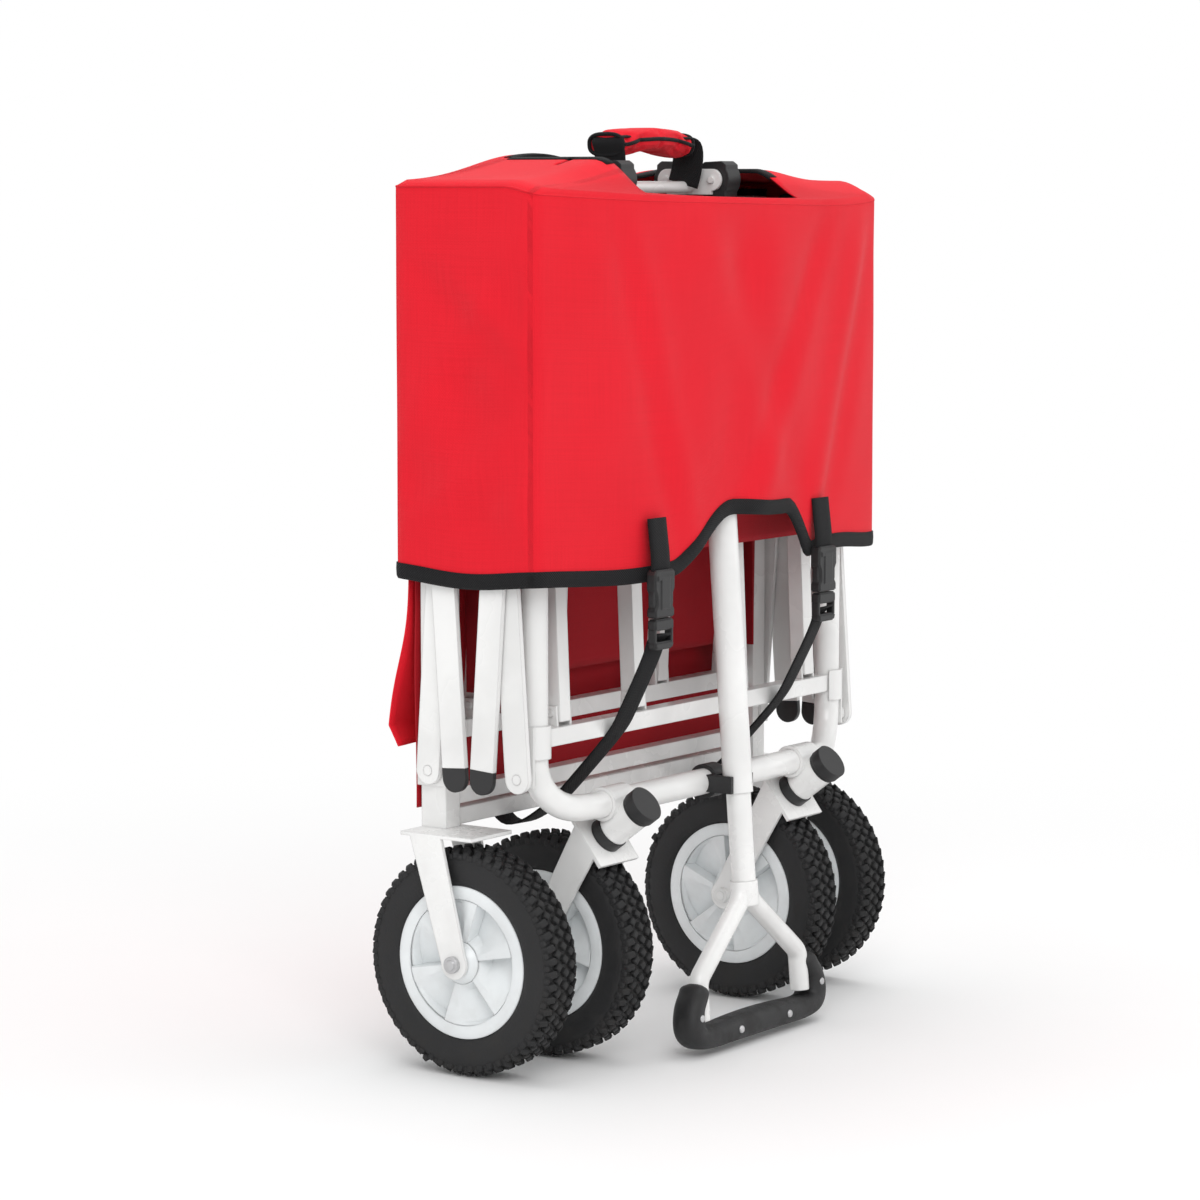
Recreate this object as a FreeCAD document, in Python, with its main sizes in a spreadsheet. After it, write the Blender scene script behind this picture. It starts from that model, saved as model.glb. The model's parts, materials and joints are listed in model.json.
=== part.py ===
import FreeCAD, Part
import math
import os
import Sketcher
from FreeCAD import Placement, Rotation, Vector

# A folding four-wheel wagon, stored folded and standing on its wheels.
# X is the width, -Y is the handle side, Z is up; the origin is on the floor, midway between
# the rear frame and the front frame. Lengths are millimetres.

DIMENSIONS = (
    ("wheel_radius", 90, "tyre outer radius"),
    ("tyre_width", 38, "tyre width"),
    ("rim_radius", 57, "radius where the tyre seats on the rim"),
    ("hub_width", 34, "width of the moulded hub over its boss"),
    ("boss_radius", 11, "radius of the hub's boss"),
    ("axle_radius", 4, "wheel bolt radius"),
    ("running_gap", 0.08, "radial clearance of a pin or bolt in its hole"),
    ("side_gap", 0.5, "side clearance between pieces that turn past each other"),
    ("rear_track", 460, "distance between the rear wheels' centre planes"),
    ("front_track", 274, "distance between the front wheels' centre planes"),
    ("axle_stagger", 4, "distance of each axle from the middle of the folded wagon"),
    ("fork_gap", 4, "gap between the tyre and each fork leg"),
    ("fork_wall", 3, "thickness of the fork steel"),
    ("fork_foot_radius", 12, "radius of the rounded fork leg end"),
    ("fork_leg_width", 30, "width of a fork leg at its top plate"),
    ("tyre_clearance", 2.5, "gap between the tyre and the caster's top plate"),
    ("frame_depth", 86, "distance between the rear legs and the front legs, folded"),
    ("rear_leg_x", 220, "rear leg centre from the middle"),
    ("rear_leg_thick", 18, "rear leg size across the wagon"),
    ("rear_leg_deep", 24, "rear leg size along the wagon"),
    ("front_leg_x", 213, "front leg centre from the middle"),
    ("front_leg_radius", 10.5, "front leg and front beam tube radius"),
    ("tube_wall", 1.5, "wall of the steel tubes"),
    ("leg_foot", 190, "height of the rear leg's foot"),
    ("leg_top", 680, "height of the leg tops"),
    ("cap_height", 6, "height of the corner caps"),
    ("beam_height", 208, "height of the front beam"),
    ("beam_forward", 20, "how far the front beam lies in front of the front legs"),
    ("beam_half", 165, "half length of the front beam's straight stretch"),
    ("leg_bend", 40, "bend radius between a front leg and the beam"),
    ("beam_bend", 50, "bend radius at each end of the front beam"),
    ("rail_height", 265, "height of the base rails"),
    ("bar_side", 14, "outside size of the square rails and bars"),
    ("lower_beam_height", 196.5, "height of the lower rear beam"),
    ("middle_beam_height", 213, "height of the middle rear beam"),
    ("flat_beam_tall", 13, "height of a flat rear beam's section"),
    ("handle_bar_height", 436, "height of the crossbar that carries the handle"),
    ("handle_bar_deep", 10, "thickness of that crossbar"),
    ("handle_bar_forward", 9, "how far that crossbar lies in front of the front legs"),
    ("top_rail_shift", 5, "how far each top rail lies outside its legs' centre"),
    ("base_pivot_height", 282, "height of the base panels' hinge pins"),
    ("base_pivot_inset", 3, "how far the hinge pins lie inside the legs' centres"),
    ("base_length", 412, "base panel length between its hinge pins"),
    ("hinge_spacing", 44, "distance between the two pins of a centre hinge"),
    ("inner_bar_x", 75, "inner base bars from the middle"),
    ("outer_bar_x", 178, "outer base bars from the middle"),
    ("panel_tie_gap", 80, "distance of a base panel's tie bar from the centre hinge"),
    ("lug_thick", 2.5, "thickness of the hinge lugs"),
    ("lug_rise", 6, "how far a lug reaches above its pin"),
    ("pin_radius", 3, "hinge pin radius"),
    ("block_thick", 18, "hinge block size across the wagon"),
    ("block_radius", 15, "radius of the hinge block's head"),
    ("block_skirt", 34, "how far the hinge block reaches down the bar"),
    ("plate_thick", 3, "hinge link plate thickness"),
    ("plate_radius", 9, "hinge link plate end radius"),
    ("tie_radius", 5, "radius of the rod that joins the centre hinges"),
    ("tie_drop", 12, "how far the joining rod lies below the hinge pins"),
    ("mat_thick", 4, "thickness of the padded floor"),
    ("mat_half", 195, "half width of the padded floor"),
    ("link_length", 436, "side link length between its end pivots"),
    ("link_width", 22, "side link width"),
    ("link_thick", 4.5, "side link thickness"),
    ("link_top", 668, "height of the fixed upper pivots"),
    ("collar_height", 236, "height of the sliding collars, folded"),
    ("hub_half", 13, "distance of the middle link ends from the wagon's middle plane"),
    ("collar_wall", 2, "wall of the sliding collars"),
    ("collar_gap", 0.3, "clearance of a collar on its leg"),
    ("collar_tall", 26, "height of a collar"),
    ("front_collar_rise", 27, "how far the front collars sit above their rivets"),
    ("layer_gap", 1.0, "gap between the layers of side links"),
    ("rivet_radius", 4, "side link rivet radius"),
    ("rivet_head", 1.5, "thickness of a rivet head"),
    ("head_tilt", 53.13, "how far the caster heads tip forward when folded"),
    ("swivel_offset", 18.2, "distance from the front beam's axis to a caster's swivel axis"),
    ("head_radius", 13.5, "caster head tube radius"),
    ("head_rise", 1.5, "how far a caster head tube stands above its sleeve"),
    ("bush_length", 9, "length of the lower swivel bush"),
    ("head_cap_length", 12, "length of the head's top cap"),
    ("kingpin_radius", 6, "kingpin radius"),
    ("sleeve_length", 30, "length of the sleeve that turns on the front beam"),
    ("sleeve_wall", 3, "wall of that sleeve"),
    ("stem_gap", 0.3, "end clearance between the swivel's stacked pieces"),
    ("handle_pivot_forward", 31, "handle pin in front of the front legs"),
    ("handle_lean", 4.3, "lean of the folded handle"),
    ("outer_tube_radius", 12, "handle outer tube radius"),
    ("outer_tube_length", 236, "handle outer tube length below its pin"),
    ("inner_tube_radius", 10, "handle inner tube radius"),
    ("inner_tube_start", 16, "start of the inner tube below the pin"),
    ("fork_start", 308, "distance of the handle's fork below the pin"),
    ("fork_leg_radius", 8, "handle fork leg radius"),
    ("fork_spread", 74, "handle fork leg centre from the middle at the grip"),
    ("fork_shoulder", 378, "distance below the pin where the fork legs run straight"),
    ("grip_start", 376, "top of the grip's arms below the pin"),
    ("grip_end", 430, "bottom of the grip below the pin"),
    ("grip_half", 102, "half width of the grip"),
    ("grip_arm", 30, "width of the grip's arms"),
    ("grip_bar_tall", 27, "height of the grip's middle bar"),
    ("grip_deep", 28, "thickness of the grip"),
    ("clip_wall", 3.5, "wall of the handle clip"),
    ("clip_width", 16, "width of the handle clip along the beam"),
    ("cover_side_gap", 19, "how far the cover stands outside the rear legs"),
    ("cover_front_gap", 51, "how far the cover's middle stands in front of the legs"),
    ("cover_bulge", 28, "how far the cover's front bows out at its middle"),
    ("cover_rear_gap", 23, "how far the cover stands behind the legs"),
    ("cover_rise", 10, "how far the cover's top is above the legs"),
    ("cover_hem", 386, "bottom edge of the cover"),
    ("cloth", 1.5, "thickness of the cover's cloth"),
    ("slot_left", 115, "left end of the opening in the cover's top"),
    ("slot_right", 100, "right end of the opening in the cover's top"),
    ("arch_height", 424, "top of the cut-out over the handle"),
    ("strap_x", 120, "buckles and straps from the middle"),
    ("strap_width", 25, "width of the lower straps"),
    ("strap_thick", 2, "thickness of the webbing"),
    ("tab_width", 29, "width of the webbing tabs above the buckles"),
    ("buckle_width", 38, "buckle width"),
    ("buckle_thick", 12, "buckle thickness"),
    ("buckle_top", 392, "top of the buckle's socket"),
    ("socket_length", 36, "length of the buckle's socket"),
    ("plug_length", 26, "length of the buckle's plug below its socket"),
    ("pocket_deep", 28, "thickness of the rear pocket at its foot"),
    ("carry_top", 733, "top of the carry strap"),
    ("carry_half", 58, "half length of the carry strap's loop"),
    ("pad_half", 50, "half length of the carry strap's padded wrap"),
)

doc = FreeCAD.newDocument("folding_wagon")
sheet = doc.addObject("Spreadsheet::Sheet", "dims")
for row, (alias, value, note) in enumerate(DIMENSIONS, 1):
    sheet.set("A%d" % row, alias)
    sheet.set("B%d" % row, str(value))
    sheet.set("C%d" % row, note)
    sheet.setAlias("B%d" % row, alias)
doc.recompute()


class Sizes:
    """The sheet's values as plain numbers, for places and for worked-out sizes."""


D = Sizes()
for alias, value, note in DIMENSIONS:
    setattr(D, alias, float(sheet.get(alias)))

SIDES = (("left", -1), ("right", 1))
X_AXIS = Vector(1, 0, 0)
Y_AXIS = Vector(0, 1, 0)
Z_AXIS = Vector(0, 0, 1)
nodes = []


# ---------------------------------------------------------------- shared ways of making a piece

def cell(text):
    """An expression on the sheet: cell("tyre_width / 2") reads dims.tyre_width / 2."""
    words = text.split()
    aliases = [alias for alias, value, note in DIMENSIONS]
    return " ".join("dims." + word if word in aliases else word for word in words)


def box(name, sizes, corner):
    """A block from its lowest corner; each size is an expression on the sheet."""
    solid = doc.addObject("Part::Box", name)
    for side, size in zip(("Length", "Width", "Height"), sizes):
        solid.setExpression(side, cell(size))
    solid.Placement = Placement(Vector(*corner), Rotation())
    return solid


def rod(name, radius, length, start, axis=Z_AXIS):
    """A round bar from its start point along an axis."""
    solid = doc.addObject("Part::Cylinder", name)
    solid.setExpression("Radius", cell(radius))
    solid.setExpression("Height", cell(length))
    solid.Placement = Placement(Vector(*start), Rotation(Z_AXIS, axis))
    return solid


def prism(name, corners, along, thickness):
    """A flat plate: a closed outline pushed along a direction."""
    outline = doc.addObject("Part::Polygon", name + "_outline")
    outline.Nodes = [Vector(*corner) for corner in corners]
    outline.Close = True
    plate = doc.addObject("Part::Extrusion", name)
    plate.Base = outline
    plate.DirMode = "Custom"
    plate.Dir = along
    plate.Solid = True
    plate.setExpression("LengthFwd", cell(thickness))
    return plate


def join(name, parts):
    fused = doc.addObject("Part::MultiFuse", name)
    fused.Shapes = parts
    return fused


def cut(name, base, tools):
    """The base with one or more tools taken out of it."""
    hole = doc.addObject("Part::Cut", name)
    hole.Base = base
    hole.Tool = tools[0] if len(tools) == 1 else join(name + "_tools", tools)
    return hole


def group(name, parts):
    """Like pieces kept as separate solids in one node."""
    lot = doc.addObject("Part::Compound", name)
    lot.Links = parts
    return lot


def node(obj, label):
    obj.Label = label
    nodes.append(obj)
    return obj


def square_bar(name, corner, length, axis="x", deep="bar_side", tall="bar_side"):
    """A hollow square or flat bar from its lowest corner, along x or z."""
    order = {"x": (length, deep, tall), "z": (deep, tall, length)}[axis]
    inner = {
        "x": (length, deep + " - 2 * tube_wall", tall + " - 2 * tube_wall"),
        "z": (deep + " - 2 * tube_wall", tall + " - 2 * tube_wall", length),
    }[axis]
    shift = {"x": (0, D.tube_wall, D.tube_wall), "z": (D.tube_wall, D.tube_wall, 0)}[axis]
    outside = box(name + "_outside", order, corner)
    inside = box(name + "_inside", inner, tuple(c + s for c, s in zip(corner, shift)))
    return cut(name, outside, [inside])


def rounded_path(corners, radii):
    """Straight runs joined by tangent arcs, one radius for each inner corner."""
    points = [Vector(*corner) for corner in corners]
    edges = []
    start = points[0]
    for before, corner, after, radius in zip(points, points[1:], points[2:], radii):
        back = (before - corner).normalize()
        on = (after - corner).normalize()
        half = back.getAngle(on) / 2
        reach = radius / math.tan(half)
        middle = (back + on).normalize() * (radius / math.sin(half) - radius)
        first = corner + back * reach
        last = corner + on * reach
        edges.append(Part.LineSegment(start, first).toShape())
        edges.append(Part.Arc(first, corner + middle, last).toShape())
        start = last
    edges.append(Part.LineSegment(start, points[-1]).toShape())
    return Part.Wire(edges)


def pipe(path, radius):
    """A solid round bar along a path."""
    first = path.Edges[0]
    direction = first.tangentAt(first.FirstParameter)
    ring = Part.Wire(Part.Circle(path.Vertexes[0].Point, direction, radius).toShape())
    return path.makePipeShell([ring], True, False)


def webbing(path, across, width, thickness):
    """A flat strap along a path that lies in a plane; across is that plane's normal."""
    first = path.Edges[0]
    direction = first.tangentAt(first.FirstParameter)
    start = path.Vertexes[0].Point
    side = across * (width / 2)
    up = across.cross(direction).normalize() * (thickness / 2)
    corners = [start - side - up, start + side - up, start + side + up, start - side + up]
    outline = Part.makePolygon(corners + corners[:1])
    return path.makePipeShell([outline], True, False)


def made(name, shape, place=None):
    """A piece whose curved shape no primitive gives."""
    feature = doc.addObject("Part::Feature", name)
    feature.Shape = shape
    if place:
        feature.Placement = place
    return feature


def revolved(name, profile):
    """A turned body about the X axis: profile is (along x, radius) pairs, as expressions."""
    body = doc.addObject("PartDesign::Body", name)
    sketch = body.newObject("Sketcher::SketchObject", name + "_profile")
    plane = [item for item in body.Origin.OriginFeatures if item.Role == "XY_Plane"][0]
    sketch.AttachmentSupport = [(plane, "")]
    sketch.MapMode = "FlatFace"
    values = [[float(sheet.evalExpression(cell(text))) for text in pair] for pair in profile]
    count = len(values)
    for index in range(count):
        here = Vector(values[index][0], values[index][1], 0)
        there = Vector(values[(index + 1) % count][0], values[(index + 1) % count][1], 0)
        sketch.addGeometry(Part.LineSegment(here, there), False)
    for index in range(count):
        sketch.addConstraint(Sketcher.Constraint("Coincident", index, 2, (index + 1) % count, 1))
    for index, pair in enumerate(profile):
        for kind, text, value in zip(("DistanceX", "DistanceY"), pair, values[index]):
            datum = sketch.addConstraint(Sketcher.Constraint(kind, -1, 1, index, 1, value))
            sketch.setExpression("Constraints[%d]" % datum, cell(text))
    turn = body.newObject("PartDesign::Revolution", name + "_turn")
    turn.Profile = sketch
    turn.ReferenceAxis = (sketch, ["H_Axis"])
    turn.Angle = 360.0
    body.Tip = turn
    doc.recompute()
    return body


# ---------------------------------------------------------------- places worked out from the sizes

leg_y = D.frame_depth / 2
cover_half = D.rear_leg_x + D.rear_leg_thick / 2 + D.cover_side_gap
cover_front = leg_y + D.cover_front_gap
cover_rear = leg_y + D.cover_rear_gap
cover_top = D.leg_top + D.cover_rise
rear_axle = Vector(0, D.axle_stagger, D.wheel_radius)
front_axle = Vector(0, -D.axle_stagger, D.wheel_radius)
beam_y = -leg_y - D.beam_forward
base_pivot_y = leg_y - D.base_pivot_inset
hinge_y = D.hinge_spacing / 2
# The hinge block's corners turn past the rod that joins the centre hinges.
crown_reach = math.hypot(hinge_y, D.tie_drop - D.tie_radius - 1) - D.tie_radius - 0.8
base_lean = math.degrees(math.asin((base_pivot_y - hinge_y) / D.base_length))
hinge_height = D.base_pivot_height + D.base_length * math.cos(math.radians(base_lean))
link_lean = math.degrees(math.asin((leg_y - D.hub_half) / D.link_length))
link_cross = (D.link_top - D.collar_height) / 2 / math.cos(math.radians(link_lean))
rear_leg_outside = D.rear_leg_x + D.rear_leg_thick / 2
inner_layer = rear_leg_outside + D.collar_gap + D.collar_wall + D.layer_gap
outer_layer = inner_layer + D.link_thick + D.layer_gap
rear_rail_half = D.rear_leg_x - D.rear_leg_thick / 2


# ---------------------------------------------------------------- wheels
# A rubber tyre with rounded shoulders on a moulded hub that turns on a bolt.

tyre_profile = (
    ("-tyre_width / 2 + 2", "rim_radius"),
    ("tyre_width / 2 - 2", "rim_radius"),
    ("tyre_width / 2", "rim_radius + 4"),
    ("tyre_width / 2", "wheel_radius - 10"),
    ("tyre_width / 2 - 5", "wheel_radius - 3"),
    ("tyre_width / 2 - 11", "wheel_radius"),
    ("-tyre_width / 2 + 11", "wheel_radius"),
    ("-tyre_width / 2 + 5", "wheel_radius - 3"),
    ("-tyre_width / 2", "wheel_radius - 10"),
    ("-tyre_width / 2", "rim_radius + 4"),
)
# The hub is a web between a rim band and a boss: a dish on each side.
hub_profile = (
    ("-hub_width / 2", "axle_radius + running_gap"),
    ("hub_width / 2", "axle_radius + running_gap"),
    ("hub_width / 2", "boss_radius"),
    ("5", "boss_radius + 5"),
    ("4", "rim_radius - 7"),
    ("tyre_width / 2 - 2", "rim_radius - 3"),
    ("tyre_width / 2 - 2", "rim_radius"),
    ("-tyre_width / 2 + 2", "rim_radius"),
    ("-tyre_width / 2 + 2", "rim_radius - 3"),
    ("-4", "rim_radius - 7"),
    ("-5", "boss_radius + 5"),
    ("-hub_width / 2", "boss_radius"),
)


def cell_safe(profile):
    """The sheet's names need a space after a leading minus sign."""
    return tuple(tuple(text.replace("-", "- ") if text[0] == "-" else text for text in pair)
                 for pair in profile)


def wheel(place, centre):
    spot = Placement(Vector(*centre), Rotation())
    tyre = node(revolved("tyre_" + place, cell_safe(tyre_profile)), "tyre_" + place)
    tyre.Placement = spot
    hub = node(revolved("hub_" + place, cell_safe(hub_profile)), "hub_" + place)
    hub.Placement = spot


def axle_bolt(place, centre, inside):
    """The wheel's bolt, with its head and nut outside the fork legs."""
    half = inside + D.fork_wall
    start = (centre[0] - half - 5, centre[1], centre[2])
    shank = rod("axle_shank_" + place, "axle_radius", "%s" % (2 * half + 10), start, X_AXIS)
    heads = []
    for end, sign in (("a", -1), ("b", 1)):
        x = centre[0] + (half if sign > 0 else -half - 4)
        heads.append(rod("axle_head_%s_%s" % (end, place), "axle_radius + 2.5", "4",
                         (x, centre[1], centre[2]), X_AXIS))
    return join("axle_" + place, [shank] + heads)


fork_inside = D.tyre_width / 2 + D.fork_gap
rear_bolts = []
caster_bolts = {}
for side, sign in SIDES:
    rear_centre = (sign * D.rear_track / 2, rear_axle.y, rear_axle.z)
    front_centre = (sign * D.front_track / 2, front_axle.y, front_axle.z)
    wheel("rear_" + side, rear_centre)
    wheel("front_" + side, front_centre)
    rear_bolts.append(axle_bolt("rear_" + side, rear_centre, fork_inside))
    caster_bolts[side] = axle_bolt("front_" + side, front_centre, fork_inside)


# ---------------------------------------------------------------- forks
# Folded steel: a top plate and two legs that narrow to a rounded foot round the bolt.

def fork(name, centre_x, axle, up, back, offset, plate_low, plate_span):
    """up runs from the axle to the top plate, back lies across it in the side view."""
    def spot(x, high, deep):
        point = axle + up * high + back * deep
        return (x, point.y, point.z)

    foot = D.fork_foot_radius
    half = D.fork_leg_width / 2
    outline = [(0, -foot), (plate_low, offset - half), (plate_low, offset + half), (0, foot)]
    parts = []
    for end, sign in (("a", -1), ("b", 1)):
        x = centre_x + sign * fork_inside - (D.fork_wall if sign < 0 else 0)
        parts.append(prism("%s_leg_%s" % (name, end), [spot(x, *pair) for pair in outline],
                           X_AXIS, "fork_wall"))
        parts.append(rod("%s_foot_%s" % (name, end), "fork_foot_radius", "fork_wall",
                         spot(x, 0, 0), X_AXIS))
    left = centre_x - fork_inside - D.fork_wall
    near, far = plate_span
    rim = [(plate_low, near), (plate_low + D.fork_wall, near),
           (plate_low + D.fork_wall, far), (plate_low, far)]
    parts.append(prism(name + "_plate", [spot(left, *pair) for pair in rim],
                       X_AXIS, "tyre_width + 2 * fork_gap + 2 * fork_wall"))
    hole = rod(name + "_hole", "axle_radius", "tyre_width + 4 * fork_gap + 4 * fork_wall",
               (left - 5, axle.y, axle.z), X_AXIS)
    return cut(name, join(name + "_steel", parts), [hole])


rear_plate = D.leg_foot - D.fork_wall - D.wheel_radius
rear_reach = leg_y + D.rear_leg_deep / 2 - rear_axle.y
rear_forks = [fork("rear_fork_" + side, sign * D.rear_track / 2, rear_axle, Z_AXIS, Y_AXIS,
                   rear_reach - 24, rear_plate, (-18, rear_reach)) for side, sign in SIDES]
node(group("rear_forks_pair", rear_forks), "rear_forks")


# ---------------------------------------------------------------- rear frame
# Two square legs on the forks, joined by a top rail, the base rail and two flat lower beams.

rear_legs = []
for side, sign in SIDES:
    corner = (sign * D.rear_leg_x - D.rear_leg_thick / 2, leg_y - D.rear_leg_deep / 2, D.leg_foot)
    rear_legs.append(square_bar("rear_leg_" + side, corner, "leg_top - leg_foot", "z",
                                "rear_leg_thick", "rear_leg_deep"))
node(group("rear_legs_pair", rear_legs), "rear_legs")

rear_width = "2 * rear_leg_x - rear_leg_thick"
half_bar = D.bar_side / 2


def cross_rail(name, height, tall="bar_side", outward=0):
    corner = (-rear_rail_half, leg_y + outward - half_bar, height - getattr(D, tall) / 2)
    return square_bar(name, corner, rear_width, "x", "bar_side", tall)


rear_rails = [
    cross_rail("rear_top_rail", D.leg_top - half_bar, outward=D.top_rail_shift),
    cross_rail("rear_base_rail", D.rail_height),
    cross_rail("rear_middle_beam", D.middle_beam_height, "flat_beam_tall"),
    cross_rail("rear_lower_beam", D.lower_beam_height, "flat_beam_tall"),
]
node(group("rear_rails_lot", rear_rails), "rear_cross_rails")


# ---------------------------------------------------------------- front frame
# One bent tube: down the left leg, round to the beam, across it, and up the right leg.

def front_corner(sign):
    return (sign * D.front_leg_x, -leg_y, D.beam_height)


def front_beam_end(sign):
    return (sign * D.beam_half, beam_y, D.beam_height)


front_path = rounded_path(
    [(-D.front_leg_x, -leg_y, D.leg_top), front_corner(-1), front_beam_end(-1),
     front_beam_end(1), front_corner(1), (D.front_leg_x, -leg_y, D.leg_top)],
    [D.leg_bend, D.beam_bend, D.beam_bend, D.leg_bend])
front_tube = pipe(front_path, D.front_leg_radius)
node(made("front_leg_tube", front_tube.cut(pipe(front_path, D.front_leg_radius - D.tube_wall))),
     "front_leg_tube")


def front_rail(name, height, outward=0):
    """A square rail whose ends are coped to the round legs."""
    corner = (-D.front_leg_x, -leg_y - outward - half_bar, height - half_bar)
    rail = square_bar(name + "_bar", corner, "2 * front_leg_x")
    legs = [rod("%s_cope_%s" % (name, side), "front_leg_radius", "2 * bar_side",
                (sign * D.front_leg_x, -leg_y, height - D.bar_side)) for side, sign in SIDES]
    return cut(name, rail, legs)


# The handle's crossbar stands in front of the legs on a short tab at each end, so that the
# collars slide past it.
handle_bar_y = -leg_y - D.handle_bar_forward
tab_reach = D.front_leg_x - D.front_leg_radius + 0.5
handle_bar_parts = [box("handle_bar", ("2 * front_leg_x - 28", "handle_bar_deep", "bar_side"),
                        (-D.front_leg_x + 14, handle_bar_y - D.handle_bar_deep / 2,
                         D.handle_bar_height - half_bar))]
for side, sign in SIDES:
    tab_x = tab_reach - 7 if sign > 0 else -tab_reach
    handle_bar_parts.append(box("handle_bar_tab_" + side, ("7", "12", "bar_side"),
                                (tab_x, -leg_y - 6, D.handle_bar_height - half_bar)))
handle_bar_legs = [rod("handle_bar_cope_" + side, "front_leg_radius", "2 * bar_side",
                       (sign * D.front_leg_x, -leg_y, D.handle_bar_height - D.bar_side))
                   for side, sign in SIDES]
front_rails = [
    front_rail("front_top_rail", D.leg_top - D.bar_side, D.top_rail_shift),
    front_rail("front_base_rail", D.rail_height),
    cut("handle_crossbar", join("handle_bar_steel", handle_bar_parts), handle_bar_legs),
]
node(group("front_rails_lot", front_rails), "front_cross_rails")

# Moulded caps close the four leg tops.
rear_caps = []
front_caps = []
for side, sign in SIDES:
    corner = (sign * D.rear_leg_x - D.rear_leg_thick / 2, leg_y - D.rear_leg_deep / 2, D.leg_top)
    rear_caps.append(box("rear_cap_" + side, ("rear_leg_thick", "rear_leg_deep", "cap_height"),
                         corner))
    front_caps.append(rod("front_cap_" + side, "front_leg_radius", "cap_height",
                          (sign * D.front_leg_x, -leg_y, D.leg_top)))
node(group("rear_leg_caps", rear_caps), "rear_leg_caps")
node(group("front_leg_caps", front_caps), "front_leg_caps")


# ---------------------------------------------------------------- base panels
# Each half of the floor is four square bars that hinge on lugs on its base rail.
# Their own frame has the hinge pin at its origin and the bars along +Z.

bar_places = (-D.outer_bar_x, -D.inner_bar_x, D.inner_bar_x, D.outer_bar_x)
tilts = {"rear": 1, "front": -1}


def panel_place(end):
    turn = Rotation(X_AXIS, tilts[end] * base_lean)
    return Placement(Vector(0, tilts[end] * base_pivot_y, D.base_pivot_height), turn)


def panel(end):
    outward = tilts[end]
    bars = []
    blocks = []
    for index, x in enumerate(bar_places):
        hinged = abs(x) == D.inner_bar_x
        corner = (x - half_bar, -half_bar, -half_bar)
        length = "base_length + bar_side / 2 - block_radius - 2 * tube_wall"
        bar = square_bar("%s_bar_%d" % (end, index), corner, length, "z")
        hole = rod("%s_bar_hole_%d" % (end, index), "pin_radius + running_gap", "2 * bar_side",
                   (x - D.bar_side, 0, 0), X_AXIS)
        bars.append(cut("%s_bar_bored_%d" % (end, index), bar, [hole]))
        if hinged:
            head = rod("%s_block_head_%d" % (end, index), "block_radius", "block_thick",
                       (x - D.block_thick / 2, 0, D.base_length), X_AXIS)
            skirt_low = D.base_length - D.block_skirt
            skirt = box("%s_block_skirt_%d" % (end, index),
                        ("block_thick", "bar_side + 8", "block_skirt"),
                        (x - D.block_thick / 2, -half_bar - 4, skirt_low))
            socket = box("%s_block_socket_%d" % (end, index), ("bar_side", "bar_side", "block_skirt"),
                         (x - half_bar, -half_bar, D.base_length - D.block_radius
                          - 2 * D.tube_wall - D.block_skirt))
            pin_hole = rod("%s_block_hole_%d" % (end, index), "pin_radius + running_gap",
                           "2 * block_thick", (x - D.block_thick, 0, D.base_length), X_AXIS)
            flat_top = box("%s_block_top_%d" % (end, index),
                           ("block_thick", "2 * block_radius - 5", "block_radius"),
                           (x - D.block_thick / 2, 2.5 - D.block_radius, D.base_length))
            corners = rod("%s_block_corners_%d" % (end, index), "%s" % crown_reach, "block_thick",
                          (x - D.block_thick / 2, 0, D.base_length), X_AXIS)
            crown = doc.addObject("Part::MultiCommon", "%s_block_crown_%d" % (end, index))
            crown.Shapes = [flat_top, corners]
            solid = join("%s_block_solid_%d" % (end, index), [head, crown, skirt])
            blocks.append(cut("%s_block_%d" % (end, index), solid, [socket, pin_hole]))
    inner_face = -half_bar - 10 if outward > 0 else half_bar
    bars.append(box(end + "_panel_tie", ("2 * outer_bar_x + bar_side", "10", "bar_side"),
                    (-D.outer_bar_x - half_bar, inner_face, D.base_length - D.panel_tie_gap)))
    mat_low = 12 if outward > 0 else 112
    mat_y = half_bar if outward > 0 else -half_bar - D.mat_thick
    mat = box(end + "_floor_mat", ("2 * mat_half", "mat_thick", "base_length - %d" % (mat_low + 36)),
              (-D.mat_half, mat_y, mat_low))
    for obj, label in ((group(end + "_bars_lot", bars), end + "_base_bars"),
                       (group(end + "_blocks_lot", blocks), end + "_hinge_blocks"),
                       (mat, end + "_floor_mat")):
        place = panel_place(end)
        obj.Placement = place.multiply(obj.Placement)
        node(obj, label)


def hinge_lugs(end):
    """Steel ears that stand on the base rail and carry the panel's pins."""
    y = tilts[end] * base_pivot_y
    low = D.rail_height + half_bar
    lugs = []
    pins = []
    for index, x in enumerate(bar_places):
        for hand, sign in SIDES:
            edge = x + sign * (half_bar + D.side_gap) - (D.lug_thick if sign < 0 else 0)
            corners = [(edge, y - half_bar + 1, low), (edge, y + half_bar - 1, low),
                       (edge, y + D.pin_radius + 2, D.base_pivot_height + D.lug_rise),
                       (edge, y - D.pin_radius - 2, D.base_pivot_height + D.lug_rise)]
            ear = prism("%s_ear_%d_%s" % (end, index, hand), corners, X_AXIS, "lug_thick")
            hole = rod("%s_ear_hole_%d_%s" % (end, index, hand), "pin_radius", "3 * lug_thick",
                       (edge - D.lug_thick, y, D.base_pivot_height), X_AXIS)
            lugs.append(cut("%s_lug_%d_%s" % (end, index, hand), ear, [hole]))
        start = x - half_bar - D.side_gap - D.lug_thick - 1
        pins.append(rod("%s_pin_%d" % (end, index), "pin_radius",
                        "bar_side + 2 * side_gap + 2 * lug_thick + 2",
                        (start, y, D.base_pivot_height), X_AXIS))
    node(group(end + "_hinge_lot", lugs + pins), end + "_panel_hinges")


for end in ("rear", "front"):
    panel(end)
    hinge_lugs(end)

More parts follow.
